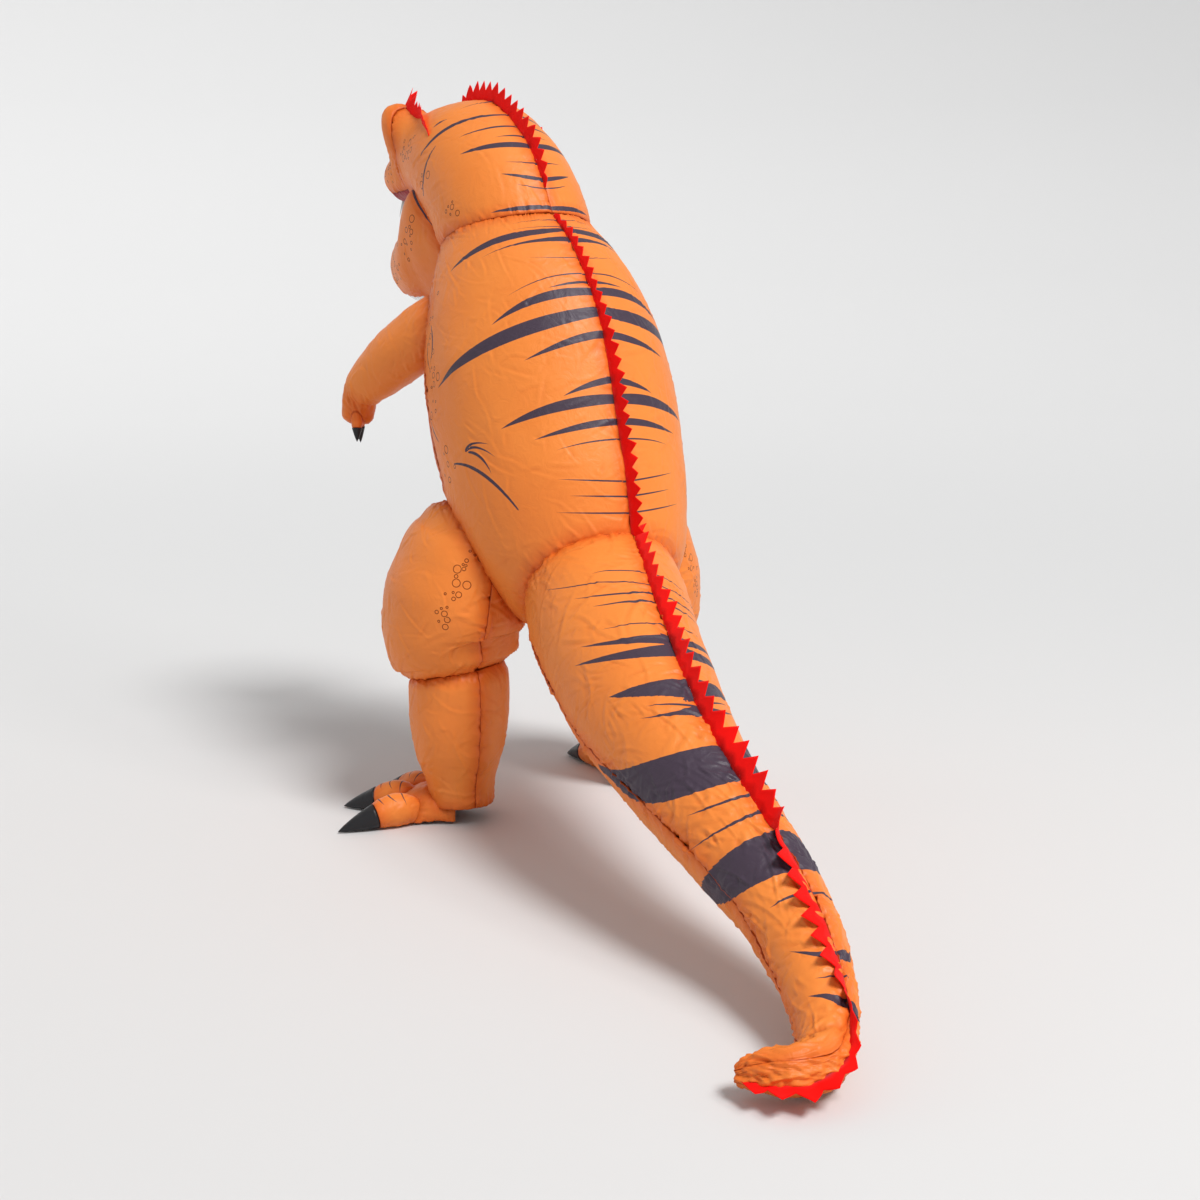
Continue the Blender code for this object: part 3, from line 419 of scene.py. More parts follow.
def creases(across, down, density, seed, rise, long, edge):
    """Short straight pulled creases: a narrow ridge with a valley beside it, most of them by the seams.

    density is how many lie on a square metre, and edge the distance to the nearest seam."""
    random = np.random.default_rng(seed)
    total = np.zeros(across.shape)
    width, length = float(across.max()), float(down.max())
    middle_down, middle_across = down[:, down.shape[1] // 2], across[across.shape[0] // 2]
    grid_down, grid_across = len(middle_down), len(middle_across)
    for _ in range(int(density * width * length)):
        row, column = random.integers(grid_down), random.integers(grid_across)
        angle, strength = random.uniform(0, math.pi), random.uniform(0.3, 1)
        size, bend = random.exponential(long) + SHORTEST, random.normal(0, 3)
        thin = random.uniform(0.003, 0.006)
        near = math.exp(-edge[row, column] / BY_SEAM)
        if random.uniform() > near + 0.07:
            continue
        size = min(size, LONGEST)
        top = np.searchsorted(middle_down, middle_down[row] - size)
        bottom = np.searchsorted(middle_down, middle_down[row] + size)
        left = np.searchsorted(middle_across, middle_across[column] - 1.4 * size)
        right = np.searchsorted(middle_across, middle_across[column] + 1.4 * size)
        part = slice(top, bottom), slice(left, right)
        du, dv = across[part] - across[row, column], down[part] - down[row, column]
        along = du * math.cos(angle) + dv * math.sin(angle)
        off = dv * math.cos(angle) - du * math.sin(angle) + bend * along ** 2
        fade = np.clip(1 - (along / size) ** 2, 0, 1) ** 1.5
        shape = hill(off / thin) - 0.6 * hill((off - 1.9 * thin) / (1.3 * thin))
        total[part] += strength * fade * shape * (0.35 + 0.65 * near)
    return rise * np.clip(total, -1.5, 2)


# Prints

BLUNT = 0.0024          # a stroke that is wider than this at its end is cut off straight
STROKE_REACH = 0.02     # how far from a stroke the faces know of it
RING_REACH = 0.012
NOWHERE = 0.03


def tail_ridge(at):
    """The turn of the tail's ridge at a row: it lies to the right at the root."""
    rows = (0, 2.4, 3.1, 4.3, 5.9, 6.3, 6.85, 8.0, 8.9, 9.7, 10.6, 16)
    return np.interp(at, rows, (110, 106, 103, 95, 93, 95, 99, 105, 114, 124, 134, 134))


def stroke_line(form, row, mirror=None, ridge=None):
    """A tapered line over a form, and its half widths; mirror is the sum of a turn and its mirrored one.

    ridge gives the turn of the ridge at a row, where the line then ends, and mirror only says whether it's
    mirrored."""
    t = np.linspace(0, 1, 15)
    first, middle, last = (1 - t) * (1 - 2 * t), 4 * t * (1 - t), t * (2 * t - 1)
    turn = first * row[0] + middle * row[2] + last * row[4]
    at = first * row[1] + middle * row[3] + last * row[5]
    half = np.maximum(first * row[6] + middle * row[7] + last * row[8], 0) / 1000
    if ridge:
        turn = turn + (ridge(at) + 3 + row[8] / 8 - 92) * t * t
        mirror = mirror and 2 * ridge(at)
    return form.point(turn if mirror is None else mirror - turn, at), half


def unprinted(corners, reach):
    """The middles of faces, how far they are from a print so far, and what their corners know of it."""
    made = np.zeros(corners.shape)
    made[..., 0] = NOWHERE
    return corners.mean(1), np.full(len(corners), reach), made


def printed_strokes(corners, out, lines):
    """For each corner of a face, how far it is beside the nearest stroke, and the half width there."""
    middle, best, made = unprinted(corners, STROKE_REACH)
    for line, half in lines:
        reach = half.max() + STROKE_REACH
        some = np.flatnonzero(np.all((middle > line.min(0) - reach) & (middle < line.max(0) + reach), -1))
        last = len(line) - 2
        for number, (a, b, ha, hb) in enumerate(zip(line[:-1], line[1:], half[:-1], half[1:])):
            long = np.linalg.norm(b - a)
            ahead = (b - a) / long
            t = np.clip((middle[some] - a) @ ahead / long, 0, 1)
            depth = lengths(middle[some] - a - t[:, None] * (b - a)) - (ha + t * (hb - ha))
            if number == last and hb >= BLUNT:
                past = (middle[some] - a) @ ahead - long
                depth = np.where(past > 0.002, np.maximum(depth, past), depth)
            near = depth < best[some]
            if not near.any():
                continue
            chosen = some[near]
            best[chosen] = depth[near]
            place = corners[chosen] - a
            along = place @ ahead
            beside = unit(np.cross(out[chosen], ahead))
            width = ha + np.clip(along / long, -1 if number == 0 else 0, 1) * (hb - ha)
            if number == 0:
                width = np.minimum(width, along + 0.002)
            if number == last and hb < BLUNT:
                width = np.minimum(width, long - along + 0.002)
            elif number == last:
                width = np.where(along > long + 0.006, -BLUNT, width)
            made[chosen, :, 0] = np.einsum("ijk,ik->ij", place, beside)
            made[chosen, :, 1] = width
    return made


def printed_scales(corners, out, circles):
    """For each corner of a face, its place from the middle of the nearest printed ring, and its radius."""
    middle, best, made = unprinted(corners, RING_REACH)
    for centre, radius in circles:
        some = np.flatnonzero(np.all(np.abs(middle - centre) < radius + RING_REACH, -1))
        depth = np.abs(lengths(middle[some] - centre) - radius)
        chosen = some[depth < best[some]]
        if not len(chosen):
            continue
        best[chosen] = depth[depth < best[some]]
        place = corners[chosen] - centre
        beside = unit(np.cross(out[chosen], np.array([0.31, 0.22, 0.93])))
        over = np.cross(out[chosen], beside)
        made[chosen, :, 0] = np.einsum("ijk,ik->ij", place, beside)
        made[chosen, :, 1] = np.einsum("ijk,ik->ij", place, over)
        made[chosen, :, 2] = radius
    return made


def circles_on(form, clusters, mirror):
    random = np.random.default_rng(11)
    made = []
    for turn, at, wide, tall, count in clusters:
        for _ in range(count):
            turn_at, row_at = turn + wide * random.normal(), at + tall * random.uniform(-1, 1)
            radius = random.choice([0.003, 0.005, 0.008, 0.011])
            for place in {turn_at, mirror - turn_at} if mirror else {turn_at}:
                centre = form.point(place, np.clip(row_at, 0, form.last))
                if all(np.linalg.norm(centre - c) > radius + r + 0.0015 for c, r in made):
                    made.append((centre, radius))
    return made


# Materials

class Look:
    """The nodes of a material."""

    def __init__(self, name, colour, roughness, **sockets):
        self.material = bpy.data.materials.new(name)
        self.material.use_nodes = True
        self.tree = self.material.node_tree
        self.shader = self.tree.nodes["Principled BSDF"].inputs
        self.shader["Base Color"].default_value = (*colour, 1)
        self.shader["Roughness"].default_value = roughness
        for socket, value in sockets.items():
            self.shader[socket.replace("_", " ")].default_value = value
        self.place = self.node("TexCoord").outputs["Object"]

    def feed(self, socket, value):
        if isinstance(value, tuple):
            socket.default_value = (*value, 1)
        elif isinstance(value, float):
            socket.default_value = value
        else:
            self.tree.links.new(value, socket)

    def node(self, kind, *fed, **values):
        """A node with its named inputs and settings, whose first inputs are fed in their order."""
        made = self.tree.nodes.new("ShaderNode" + kind)
        for name, value in values.items():
            if name in made.inputs:
                made.inputs[name].default_value = value
            else:
                setattr(made, name, value)
        for socket, value in zip(made.inputs, fed):
            self.feed(socket, value)
        return made

    def math(self, operation, *values):
        return self.node("Math", *values, operation=operation).outputs[0]

    def ranged(self, value, *limits):
        """A value taken from between two limits to between two others."""
        return self.node("MapRange", value, *limits).outputs[0]

    def under(self, value, low, high, most=1.0):
        """most where a value is under low, 0 over high."""
        return self.ranged(value, low, high, most, 0.0)

    def painted(self, name, output="Fac"):
        """What the mesh holds for each point or corner."""
        return self.node("Attribute", attribute_name=name).outputs[output]

    def painted_parts(self, name):
        return self.node("SeparateXYZ", self.painted(name, "Vector")).outputs

    def mix(self, factor, first, second):
        made = self.node("Mix", factor, data_type="RGBA")
        self.feed(made.inputs[6], first)
        self.feed(made.inputs[7], second)
        return made.outputs[2]

    def noise(self, **values):
        return self.node("TexNoise", self.place, **values).outputs[0]

    def finished(self, colour, *layers):
        """The material with its colour and a chain of bumps, each a height, a strength and a distance."""
        self.feed(self.shader["Base Color"], colour)
        before = None
        for height, strength, distance in layers:
            made = self.node("Bump", Strength=strength, Distance=distance)
            self.feed(made.inputs["Height"], height)
            if before:
                self.feed(made.inputs["Normal"], before)
            before = made.outputs[0]
        self.feed(self.shader["Normal"], before)
        return self.material


def shade(colour, share):
    return tuple(share * value for value in colour)


def cloth(name, pale, deep, roughness, printed=True):
    """Coated satin polyester: painted shade by the seams and in the folds, printed, finely wrinkled and
    woven.
    """
    look = Look(name, pale, roughness, Specular_IOR_Level=0.26)
    between = tuple(0.5 * (a + b) for a, b in zip(pale, deep))
    colour = look.mix(look.noise(Scale=2.6, Detail=4.0, Roughness=0.55), pale, between)
    edge = look.painted("edge")
    # Painted shade: the deep tone mixed in within 45 mm of a seam, where shade falls beside the seams
    colour = look.mix(look.under(edge, 0.0, 0.045, 0.6), colour, deep)
    # Painted shade: a darker deep tone in the valleys of the seam dips, puckers and creases
    colour = look.mix(look.under(look.painted("hollow"), -0.005, 0.0, 0.6), colour, shade(deep, 0.72))
    if printed:
        off, half, _ = look.painted_parts("stroke")
        beside = look.math("SUBTRACT", look.math("ABSOLUTE", off), half)
        colour = look.mix(look.under(beside, -0.0003, 0.0003), colour, PRINT)
        x, y, radius = look.painted_parts("scale")
        squares = look.math("POWER", x, 2.0), look.math("POWER", y, 2.0)
        far = look.math("SUBTRACT", look.math("SQRT", look.math("ADD", *squares)), radius)
        ring = look.under(look.math("ABSOLUTE", far), 0.0008, 0.0014)
        colour = look.mix(ring, colour, shade(deep, 0.22))
    colour = look.mix(look.under(edge, 0.0004, 0.0014), colour, shade(deep, 0.7))
    small = look.noise(Scale=26.0, Detail=6.0, Roughness=0.6, Distortion=1.4)
    look.feed(look.shader["Roughness"], look.ranged(small, 0.3, 0.7, roughness - 0.06, roughness + 0.08))
    weave = look.noise(Scale=900.0, Detail=1.0)
    return look.finished(colour, (small, 0.35, 0.006), (weave, 0.06, 0.0006))


def felt(name, pale, deep):
    look = Look(name, pale, 0.9, Sheen_Weight=0.06, Sheen_Roughness=0.5, Specular_IOR_Level=0.1)
    fibres = look.noise(Scale=420.0, Detail=4.0, Roughness=0.7)
    patches = look.noise(Scale=28.0, Detail=3.0)
    return look.finished(look.mix(patches, pale, deep), (patches, 0.3, 0.004), (fibres, 0.5, 0.0012))


def plastic(name, colour, roughness):
    look = Look(name, colour, roughness)
    pale = tuple(1.5 * value + 0.01 for value in colour)
    worn = look.mix(look.noise(Scale=60.0, Detail=4.0), colour, pale)
    return look.finished(worn, (look.noise(Scale=1500.0, Detail=2.0), 0.2, 0.0003))


def vinyl(name, colour, roughness):
    look = Look(name, colour, roughness, Alpha=0.35)
    return look.finished(colour, (look.noise(Scale=14.0, Detail=3.0), 0.35, 0.004))


# The second colour of each cloth is its tone in shade: the cloth material paints it by the seams and in the
# hollows as painted shade, and also uses it for random tone, stitches and printed rings
ORANGE = (0.86, 0.275, 0.050)
ORANGE_DEEP = (0.66, 0.088, 0.004)
PRINT = (0.056, 0.038, 0.058)
MATERIALS = {
    "orange": cloth("orange_satin", ORANGE, ORANGE_DEEP, 0.42),
    "belly": cloth("belly_satin", (0.74, 0.175, 0.026), (0.56, 0.085, 0.008), 0.46),
    "mouth": cloth("mouth_satin", (0.42, 0.012, 0.016), (0.26, 0.006, 0.009), 0.45, printed=False),
    "claw": cloth("claw_cloth", (0.022, 0.022, 0.025), (0.012, 0.012, 0.013), 0.36, printed=False),
    "red_felt": felt("red_felt", (0.98, 0.004, 0.002), (0.84, 0.002, 0.001)),
    "tooth": felt("tooth_felt", (0.70, 0.70, 0.68), (0.55, 0.55, 0.54)),
    "zip": felt("zip_tape", (0.035, 0.033, 0.036), (0.020, 0.020, 0.022)),
    "plastic": plastic("black_plastic", (0.035, 0.035, 0.037), 0.38),
    "vinyl": vinyl("vinyl", (0.82, 0.85, 0.87), 0.12),
}


# Meshes


def placed(name, data):
    made = bpy.data.objects.new(name, data)
    bpy.context.scene.collection.objects.link(made)
    return made


def quick_mesh(name, verts, faces, slot, floats=None, vectors=None):
    """A mesh object on the costume, from points above the floor and four-cornered faces."""
    faces = np.asarray(faces, np.int64)
    used, index = np.unique(faces, return_inverse=True)
    faces = index.reshape(faces.shape)
    verts = np.asarray(verts)[used] - SHOULDERS
    mesh = bpy.data.meshes.new(name)
    mesh.vertices.add(len(verts))
    mesh.vertices.foreach_set("co", verts.astype(np.float32).ravel())
    mesh.loops.add(faces.size)
    mesh.loops.foreach_set("vertex_index", faces.ravel().astype(np.int32))
    mesh.polygons.add(len(faces))
    mesh.polygons.foreach_set("loop_start", np.arange(0, faces.size, faces.shape[1], dtype=np.int32))
    mesh.polygons.foreach_set("use_smooth", np.ones(len(faces), bool))
    for key, values in (floats or {}).items():
        layer = mesh.attributes.new(key, "FLOAT", "POINT")
        layer.data.foreach_set("value", values[used].astype(np.float32))
    for key, values in (vectors or {}).items():
        layer = mesh.attributes.new(key, "FLOAT_VECTOR", "CORNER")
        layer.data.foreach_set("vector", values.astype(np.float32).ravel())
    mesh.update()
    mesh.materials.append(MATERIALS[slot])
    made = placed(name, mesh)
    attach(made, "costume")
    return made


def spaced(form, turn, low, high, pitch):
    fine = np.linspace(low, high, 500)
    line = form.point(turn, fine)
    far = np.concatenate([[0], np.cumsum(lengths(np.diff(line, axis=0)))])
    count = max(round(far[-1] / pitch), 4)
    return np.interp(np.linspace(0, far[-1], count + 1), far, fine)


def measured(grid, axis):
    """Distance along an axis of a grid, from its first line."""
    step = lengths(np.diff(grid, axis=axis))
    start = np.zeros_like(step[:1] if axis == 0 else step[:, :1])
    return np.cumsum(np.concatenate([start, step], axis), axis)


# How each kind of panel lies: its grid's pitch, its swell, its creases' height and length, and how many
# creases a square metre has
LIES = {
    "body": (0.0048, 0.005, 0.0028, 0.045, 900),
    "skull": (0.0047, 0.004, 0.0026, 0.045, 800),
    "muzzle": (0.0046, 0.003, 0.0026, 0.030, 420),
    "jaw": (0.0047, 0.003, 0.0028, 0.030, 420),
    "lining": (0.0065, 0.002, 0.0015, 0.045, 420),
    "window": (0.0060, 0.002, 0.0010, 0.045, 150),
    "tail": (0.0047, 0.005, 0.0042, 0.045, 1100),
    "thigh": (0.0048, 0.006, 0.0042, 0.045, 1100),
    "shin": (0.0046, 0.005, 0.0034, 0.045, 1100),
    "foot": (0.0045, 0.002, 0.0018, 0.020, 1500),
    "toe": (0.0040, 0.0015, 0.0015, 0.020, 2500),
    "sleeve": (0.0042, 0.004, 0.0026, 0.035, 1600),
    "finger": (0.0035, 0.001, 0.0010, 0.012, 4000),
    "zip": (0.0040, 0.0, 0.0, 0.045, 0),
}
# The kinds whose seams dip and pucker unlike the rest, and the puckers where forms are joined
SEWN = {
    "window": {"folds": 0.0016, "reach": 0.03, "deep": 0.0012},
    "thigh": {"folds": 0.0070, "reach": 0.055},
    "shin": {"folds": 0.0062, "reach": 0.05},
    "toe": {"folds": 0.0022, "reach": 0.02, "pitch": 0.012, "deep": 0.002},
    "finger": {"folds": 0.001, "reach": 0.012, "pitch": 0.008, "deep": 0.0015},
    "zip": {"folds": 0.0, "deep": 0.0},
}
JOINED = {"folds": 0.0068, "reach": 0.060, "pitch": 0.022}
POINTED = 0.030         # a form that ends thinner than this is gathered to a point
TURNED_UNDER = 0.0045   # how deep a panel's edges are turned under
HIDDEN = 0.012          # faces that lie deeper than this in another form are left out
PRESSED = 0.0018        # how deep cloth lies under what is sewn over it
WIDE_SWELL, NARROW_SWELL = 0.21, 0.09   # how far apart a panel's swells lie
NO_SEAM = 0.05          # how far a panel's points are from a seam at most
OWN_SIZE = 0.12         # the radius that turns degrees into a length along a seam round the panel's own form
ROUND = (0, 360)
UNSEWN = (False, False)


def shell(node_name, form, kind, seed, slot="orange", turns=ROUND, rows=None, meets=(), ends=(True, True),
          lines=(), circles=(), extra=None, shift=None, seams_at=None, window=None, vent=None,
          flat_under=None):
    """A sewn panel: a fine grid on its form, dipped at seams, puckered, creased and printed.

    meets lists the forms that it is sewn to where they cross, ends says which end rows are sewn, window is
    an opening's turns and rows, and vent a round opening's middle and radius."""
    pitch, wobble, creased, crease_size, dense = LIES[kind]
    seam, closed, rows = SEWN.get(kind, {}), turns == ROUND, rows or (0, form.last)
    at = spaced(form, (turns[0] + turns[1]) / 2, *rows, pitch)
    girth = measured(form.point(*np.meshgrid(np.linspace(*turns, 80), at)), 1)[:, -1].max()
    turn = np.linspace(*turns, max(round(girth / pitch), 8) + 1)
    if closed:
        turn = turn[:-1]
    if window:
        cuts = []
        for line, limits in zip((turn, at), window):
            cuts.append([int(np.abs(line - limit).argmin()) for limit in limits])
            line[cuts[-1]] = limits
    turn, at = np.meshgrid(turn, at)
    if seams_at is not None:
        turn = seams_at(turn, at)
    place, out = form.point(turn, at), form.normal(turn, at)
    across, down = measured(place, 1), measured(place, 0)
    width, length = across[:, -1:], down[-1:, :]
    rise = np.zeros(turn.shape)
    edge = np.full(turn.shape, NO_SEAM)
    if not closed:
        for side, far in enumerate((across, width - across)):
            rise += seam_folds(far, down, seed + side, **seam)
            edge = np.minimum(edge, far)
    off_middle = lengths(place - place.mean(1, keepdims=True))
    round_it = np.radians(turn) * np.minimum(off_middle, 0.4)
    for side, far in enumerate((down, length - down)):
        if ends[side]:
            rise += seam_folds(far, round_it, seed + 10 + side, **seam)
            edge = np.minimum(edge, far)
    flat = place.reshape(-1, 3)
    inside = np.full(len(flat), FAR)
    for number, (other, own) in enumerate(meets):
        far, angle = other.near(flat)
        inside = np.minimum(inside, far)
        along = np.radians(turn.ravel() if own else angle) * (OWN_SIZE if own else other.size)
        rise += seam_folds(far, along, seed + 20 + number, **{**JOINED, **seam}).reshape(turn.shape)
        edge = np.minimum(edge, np.abs(far).reshape(turn.shape))
    if window:
        (left, right), (low, high) = cuts
        off_across = np.maximum(across[:, left, None] - across, across - across[:, right, None])
        off_down = np.maximum(down[low] - down, down - down[high])
        off = np.hypot(np.maximum(off_across, 0), np.maximum(off_down, 0))
        off += np.minimum(np.maximum(off_across, off_down), 0)
        rise += seam_folds(off, across + down, seed + 30, **seam)
        edge = np.minimum(edge, np.abs(off))
    wobbled = wobble * (noise(place / WIDE_SWELL, seed + 31) + 0.4 * noise(place / NARROW_SWELL, seed + 32))
    rise += wobbled
    if creased:
        rise += creases(across, down, dense, seed + 40, creased, crease_size, edge)
    if extra is not None:
        rise += extra(turn, at, place)
    if flat_under is not None:
        share = flat_under(turn, at)
        rise = rise * (1 - share) - PRESSED * share
    place = place + rise[..., None] * out
    if shift is not None:
        place = place + shift(turn, at)
    ring = [(1, 1), (0, 0) if closed else (1, 1)]

    def framed(values):
        """Values of the grid with those of its border once more round it."""
        return np.pad(values, [*ring, (0, 0)][:values.ndim], mode="edge")

    padded, normals = framed(place), framed(out)
    border = np.ones(padded.shape[:2], bool)
    border[1:-1, slice(None) if closed else slice(1, -1)] = False
    padded[border] -= TURNED_UNDER * normals[border]
    for end in (0, -1):
        middle, _, _, *sizes = form.rings(np.array([rows[end]], float))
        if max(size[0] for size in sizes) < POINTED:
            padded[end] = middle[0]
    verts = padded.reshape(-1, 3)
    faces = quads(np.arange(len(verts)).reshape(border.shape), closed)
    kept = framed(inside.reshape(turn.shape)).ravel()[faces].max(1) > -HIDDEN
    if window:
        kept &= framed(off).ravel()[faces].mean(1) > 0
    if vent:
        kept &= lengths(verts[faces].mean(1) - vent[0]) > vent[1]
    faces = faces[kept]
    # edge and hollow also steer the cloth's painted shade by the seams and in the hollows
    floats = {"edge": framed(edge).ravel(), "hollow": framed(rise - wobbled).ravel()}
    plain = framed(flat.reshape(place.shape)).reshape(-1, 3)[faces]
    facing = normals.reshape(-1, 3)[faces].mean(1)
    strokes, scales = printed_strokes(plain, facing, lines), printed_scales(plain, facing, circles)
    prints = {"stroke": strokes, "scale": scales}
    made = quick_mesh(f"{node_name}_cloth", verts, faces, slot, floats, prints)
    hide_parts(node_name)


FELT = 0.0026           # how thick the felt is
FOOT = -0.002           # where a strip's foot lies, in the cloth
LEVELS = (0.0, 0.45, 0.85, 1.0)     # shares of a strip's height


def strip(node_name, slot, form, table, pitch, seed, peak=0.5, wave=0.2):
    """A serrated strip of felt on edge along a line over a form, with soft triangles a pitch apart.

    A row of the table gives a turn and a row of the form, the heights of the base and the spikes in
    millimetres, and how far both lean over along x, y and z."""
    table = np.array(table, float)
    table[:, 2:4] /= 1000
    knots, fine = np.arange(len(table)), np.linspace(0, len(table) - 1, 900)
    turn, at = np.interp(fine, knots, table[:, 0]), np.interp(fine, knots, table[:, 1])
    base = form.point(turn, at)
    far = measured(base[:, None], 0)[:, 0]
    count = max(round(far[-1] / pitch), 1)
    steps = np.linspace(0, far[-1], count * 8 + 1)
    place = np.interp(steps, far, fine)
    turn, at, low, tall, *lean = (np.interp(place, knots, column) for column in table.T)
    base = form.point(turn, at)
    out = unit(form.normal(turn, at) + np.stack(lean, -1))
    share = steps / far[-1] * count
    phase = share % 1
    spike = np.maximum(0, 1 - np.abs(phase - peak) / np.where(phase < peak, peak, 1 - peak))
    wild = 1 + 0.16 * mixed_noise(np.floor(share) * 1.37 + 0.5, share * 0, seed)
    height = low + (tall - low) * spike * wild
    travel = unit(np.gradient(base, axis=0))
    side = unit(np.cross(travel, out))
    bend = wave * mixed_noise(share * 0.6, share * 0, seed + 3) * height
    verts = []
    for level in LEVELS:
        half = FELT / 2 * (1 - 0.75 * level * spike)[:, None]
        middle = base + (FOOT + (height - FOOT) * level)[:, None] * out
        middle = middle + (bend * level ** 2)[:, None] * side
        verts += [middle - half * side, middle + half * side]
    rings = np.stack([verts[k] for k in (0, 2, 4, 6, 7, 5, 3, 1)], 1)
    count = len(rings)
    faces = quads(np.arange(count * 8).reshape(count, 8), closed=True)[:, [0, 3, 2, 1]]
    ends = [[0, 7, 6, 1], [1, 6, 5, 2], [2, 5, 4, 3]]
    last = [[8 * count - 8 + k for k in face[::-1]] for face in ends]
    made = quick_mesh(f"{node_name}_strip", rings.reshape(-1, 3), [*faces, *ends, *last], slot)
    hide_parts(node_name)


# Panels

WINDOW_ROWS = (2.625, 6.125)
BLOWER_AT = (140, 6.1)
VENT_RADIUS = 0.0595
ZIP_TURNS = (86.8, 93.2)
ZIP_ROWS = (4.2, 8.0)
ZIP_RISE = 0.0025
MOUTH_ROWS = (6, HEAD.last)
BODY_SEAMS = {"back_left": (270, 378), "belly_left": (18, 90), "belly_right": (90, 162),
              "back_right": (162, 270)}
SKULL_SEAMS = {"skull_left": (270, 450), "skull_right": (90, 270)}
TAIL_SEAMS = {"tail_left": (-22.5, 90), "tail_right": (90, 202.5), "tail_under": (202.5, 337.5)}

STRIPES, CIRCLES = {}, {}
PRINTED = (("body", BODY, BODY_STROKES), ("head", HEAD, HEAD_STROKES), ("jaw", JAW, JAW_STROKES))
for name, form, strokes in PRINTED:
    STRIPES[name] = [stroke_line(form, row, mirror) for row in strokes for mirror in (None, 540)]
    CIRCLES[name] = circles_on(form, SCALES[name], 180)
STRIPES["tail"] = []
for row in TAIL_STROKES:
    STRIPES["tail"] += [stroke_line(TAIL, row, mirror, tail_ridge) for mirror in (None, True)]
STRIPES["tail"] += [stroke_line(TAIL, row) for row in TAIL_END_STROKES]
ARMS, THIGHS, SHINS = {}, {}, {}
for side, sign in (("left", 1), ("right", -1)):
    ARMS[side] = Form(PATH, [(sign * row[0], *row[1:]) for row in ARM_ROWS], facing=(0, -0.6, 0.8))
    for store, rows in ((THIGHS, THIGH_ROWS), (SHINS, SHIN_ROWS)):
        legs = [(sign * (HIP_X[side] + row[0]), LEG_Y[side] + row[1], *row[2:]) for row in rows]
        store[side] = Form(PATH, legs, facing=(0, -1, 0))
BODY_MEETS = [(TAIL, False), (JAW, False), *((form, False) for form in (*THIGHS.values(), *ARMS.values()))]
TRUNK = [(BODY, True), (HEAD, True)]


def under_zip(turn, at):
    """1 where the belly lies flat under the zip's tape, and 0 away from it."""
    along = np.clip((at - ZIP_ROWS[0] + 0.35) / 0.3, 0, 1) * np.clip((ZIP_ROWS[1] + 0.35 - at) / 0.3, 0, 1)
    return along * np.exp(-(((turn - 90) / 4.4) ** 4))


for number, (name, turns) in enumerate(BODY_SEAMS.items()):
    slot = "orange" if "back" in name else "belly"
    shell(name, BODY, "body", 100 + 50 * number, slot, turns, meets=BODY_MEETS, lines=STRIPES["body"],
          circles=CIRCLES["body"], flat_under=under_zip if slot == "belly" else None,
          vent=(BODY.point(*BLOWER_AT), VENT_RADIUS) if name == "belly_right" else None)
for number, (name, turns) in enumerate(SKULL_SEAMS.items()):
    shell(name, HEAD, "skull", 400 + 50 * number, turns=turns, rows=(0, 6), meets=[(JAW, False)],
          lines=STRIPES["head"], circles=CIRCLES["head"])
shell("muzzle", HEAD, "muzzle", 520, turns=(144, 396), rows=MOUTH_ROWS, ends=(True, False),
      circles=CIRCLES["head"])
shell("palate", HEAD, "lining", 560, "mouth", turns=(36, 144), rows=MOUTH_ROWS, ends=(True, False))
shell("jaw", JAW, "jaw", 600, turns=(315, 585), meets=TRUNK, ends=UNSEWN, lines=STRIPES["jaw"],
      circles=CIRCLES["jaw"], window=((405, 495), WINDOW_ROWS))
shell("throat_window", JAW, "window", 640, "vinyl", (45, 135), WINDOW_ROWS)
shell("jaw_lining", JAW, "lining", 650, "mouth", turns=(225, 315), meets=TRUNK, ends=UNSEWN)


def tail_crush(turn, at, place):
    """The emptier end of the tail sags and crumples where it bends and lies folded."""
    share = np.clip((at - 9.0) / 3.0, 0, 1)
    inside = (turn + 180) % 360 - 180
    off = at - 12.0 + 0.8 * np.clip(inside / 90, -0.2, 1.2)
    fold = hill(off / 0.16) - 0.6 * hill((off - 0.42) / 0.25)
    fold = -0.011 * fold * hill((inside - 40) / 70)
    return fold + share * (0.005 * noise(place / 0.07, 801) + 0.0016 * noise(place / 0.026, 811))


def tail_seams(turn, at):
    """The ridge seam lies to the right at the tail's root, and the left underside seam runs up its side."""
    ridge = tail_ridge(at) + 1
    under_left = np.interp(at, (0, 3.0, 4.0, 6.0, 7.2, 8.2, 16), (-22.5, -20, -12, 5, 3, -8, -8))
    knots = np.stack([under_left - 135, under_left, ridge, 0 * at + 202.5, under_left + 360], 0)
    plain = np.array([-157.5, -22.5, 90, 202.5, 337.5])
    part = np.clip(np.searchsorted(plain, turn, side="right") - 1, 0, 3)
    low, high = (np.take_along_axis(knots, part[None] + step, 0)[0] for step in (0, 1))
    return low + (turn - plain[part]) / (plain[part + 1] - plain[part]) * (high - low)


for number, (name, turns) in enumerate(TAIL_SEAMS.items()):
    shell(name, TAIL, "tail", 700 + 50 * number, turns=turns, meets=[(BODY, True)], ends=UNSEWN,
          lines=STRIPES["tail"], extra=tail_crush, seams_at=tail_seams)


def overhang(front, knee_row=None):
    """The thigh's foot hangs lower over the knee on its outer front, and the shin's top goes with it."""
    def shift(turn, at):
        share = hill((at - 0.5) / 0.9)
        if knee_row:
            share = 0.734 * np.clip((at - 2.2) / (knee_row - 2.2), 0, 1) ** 2
        low = share * (0.3 + np.cos(np.radians(turn - front)))
        return np.stack([0 * low, 0 * low, -0.034 * low], -1)
    return shift


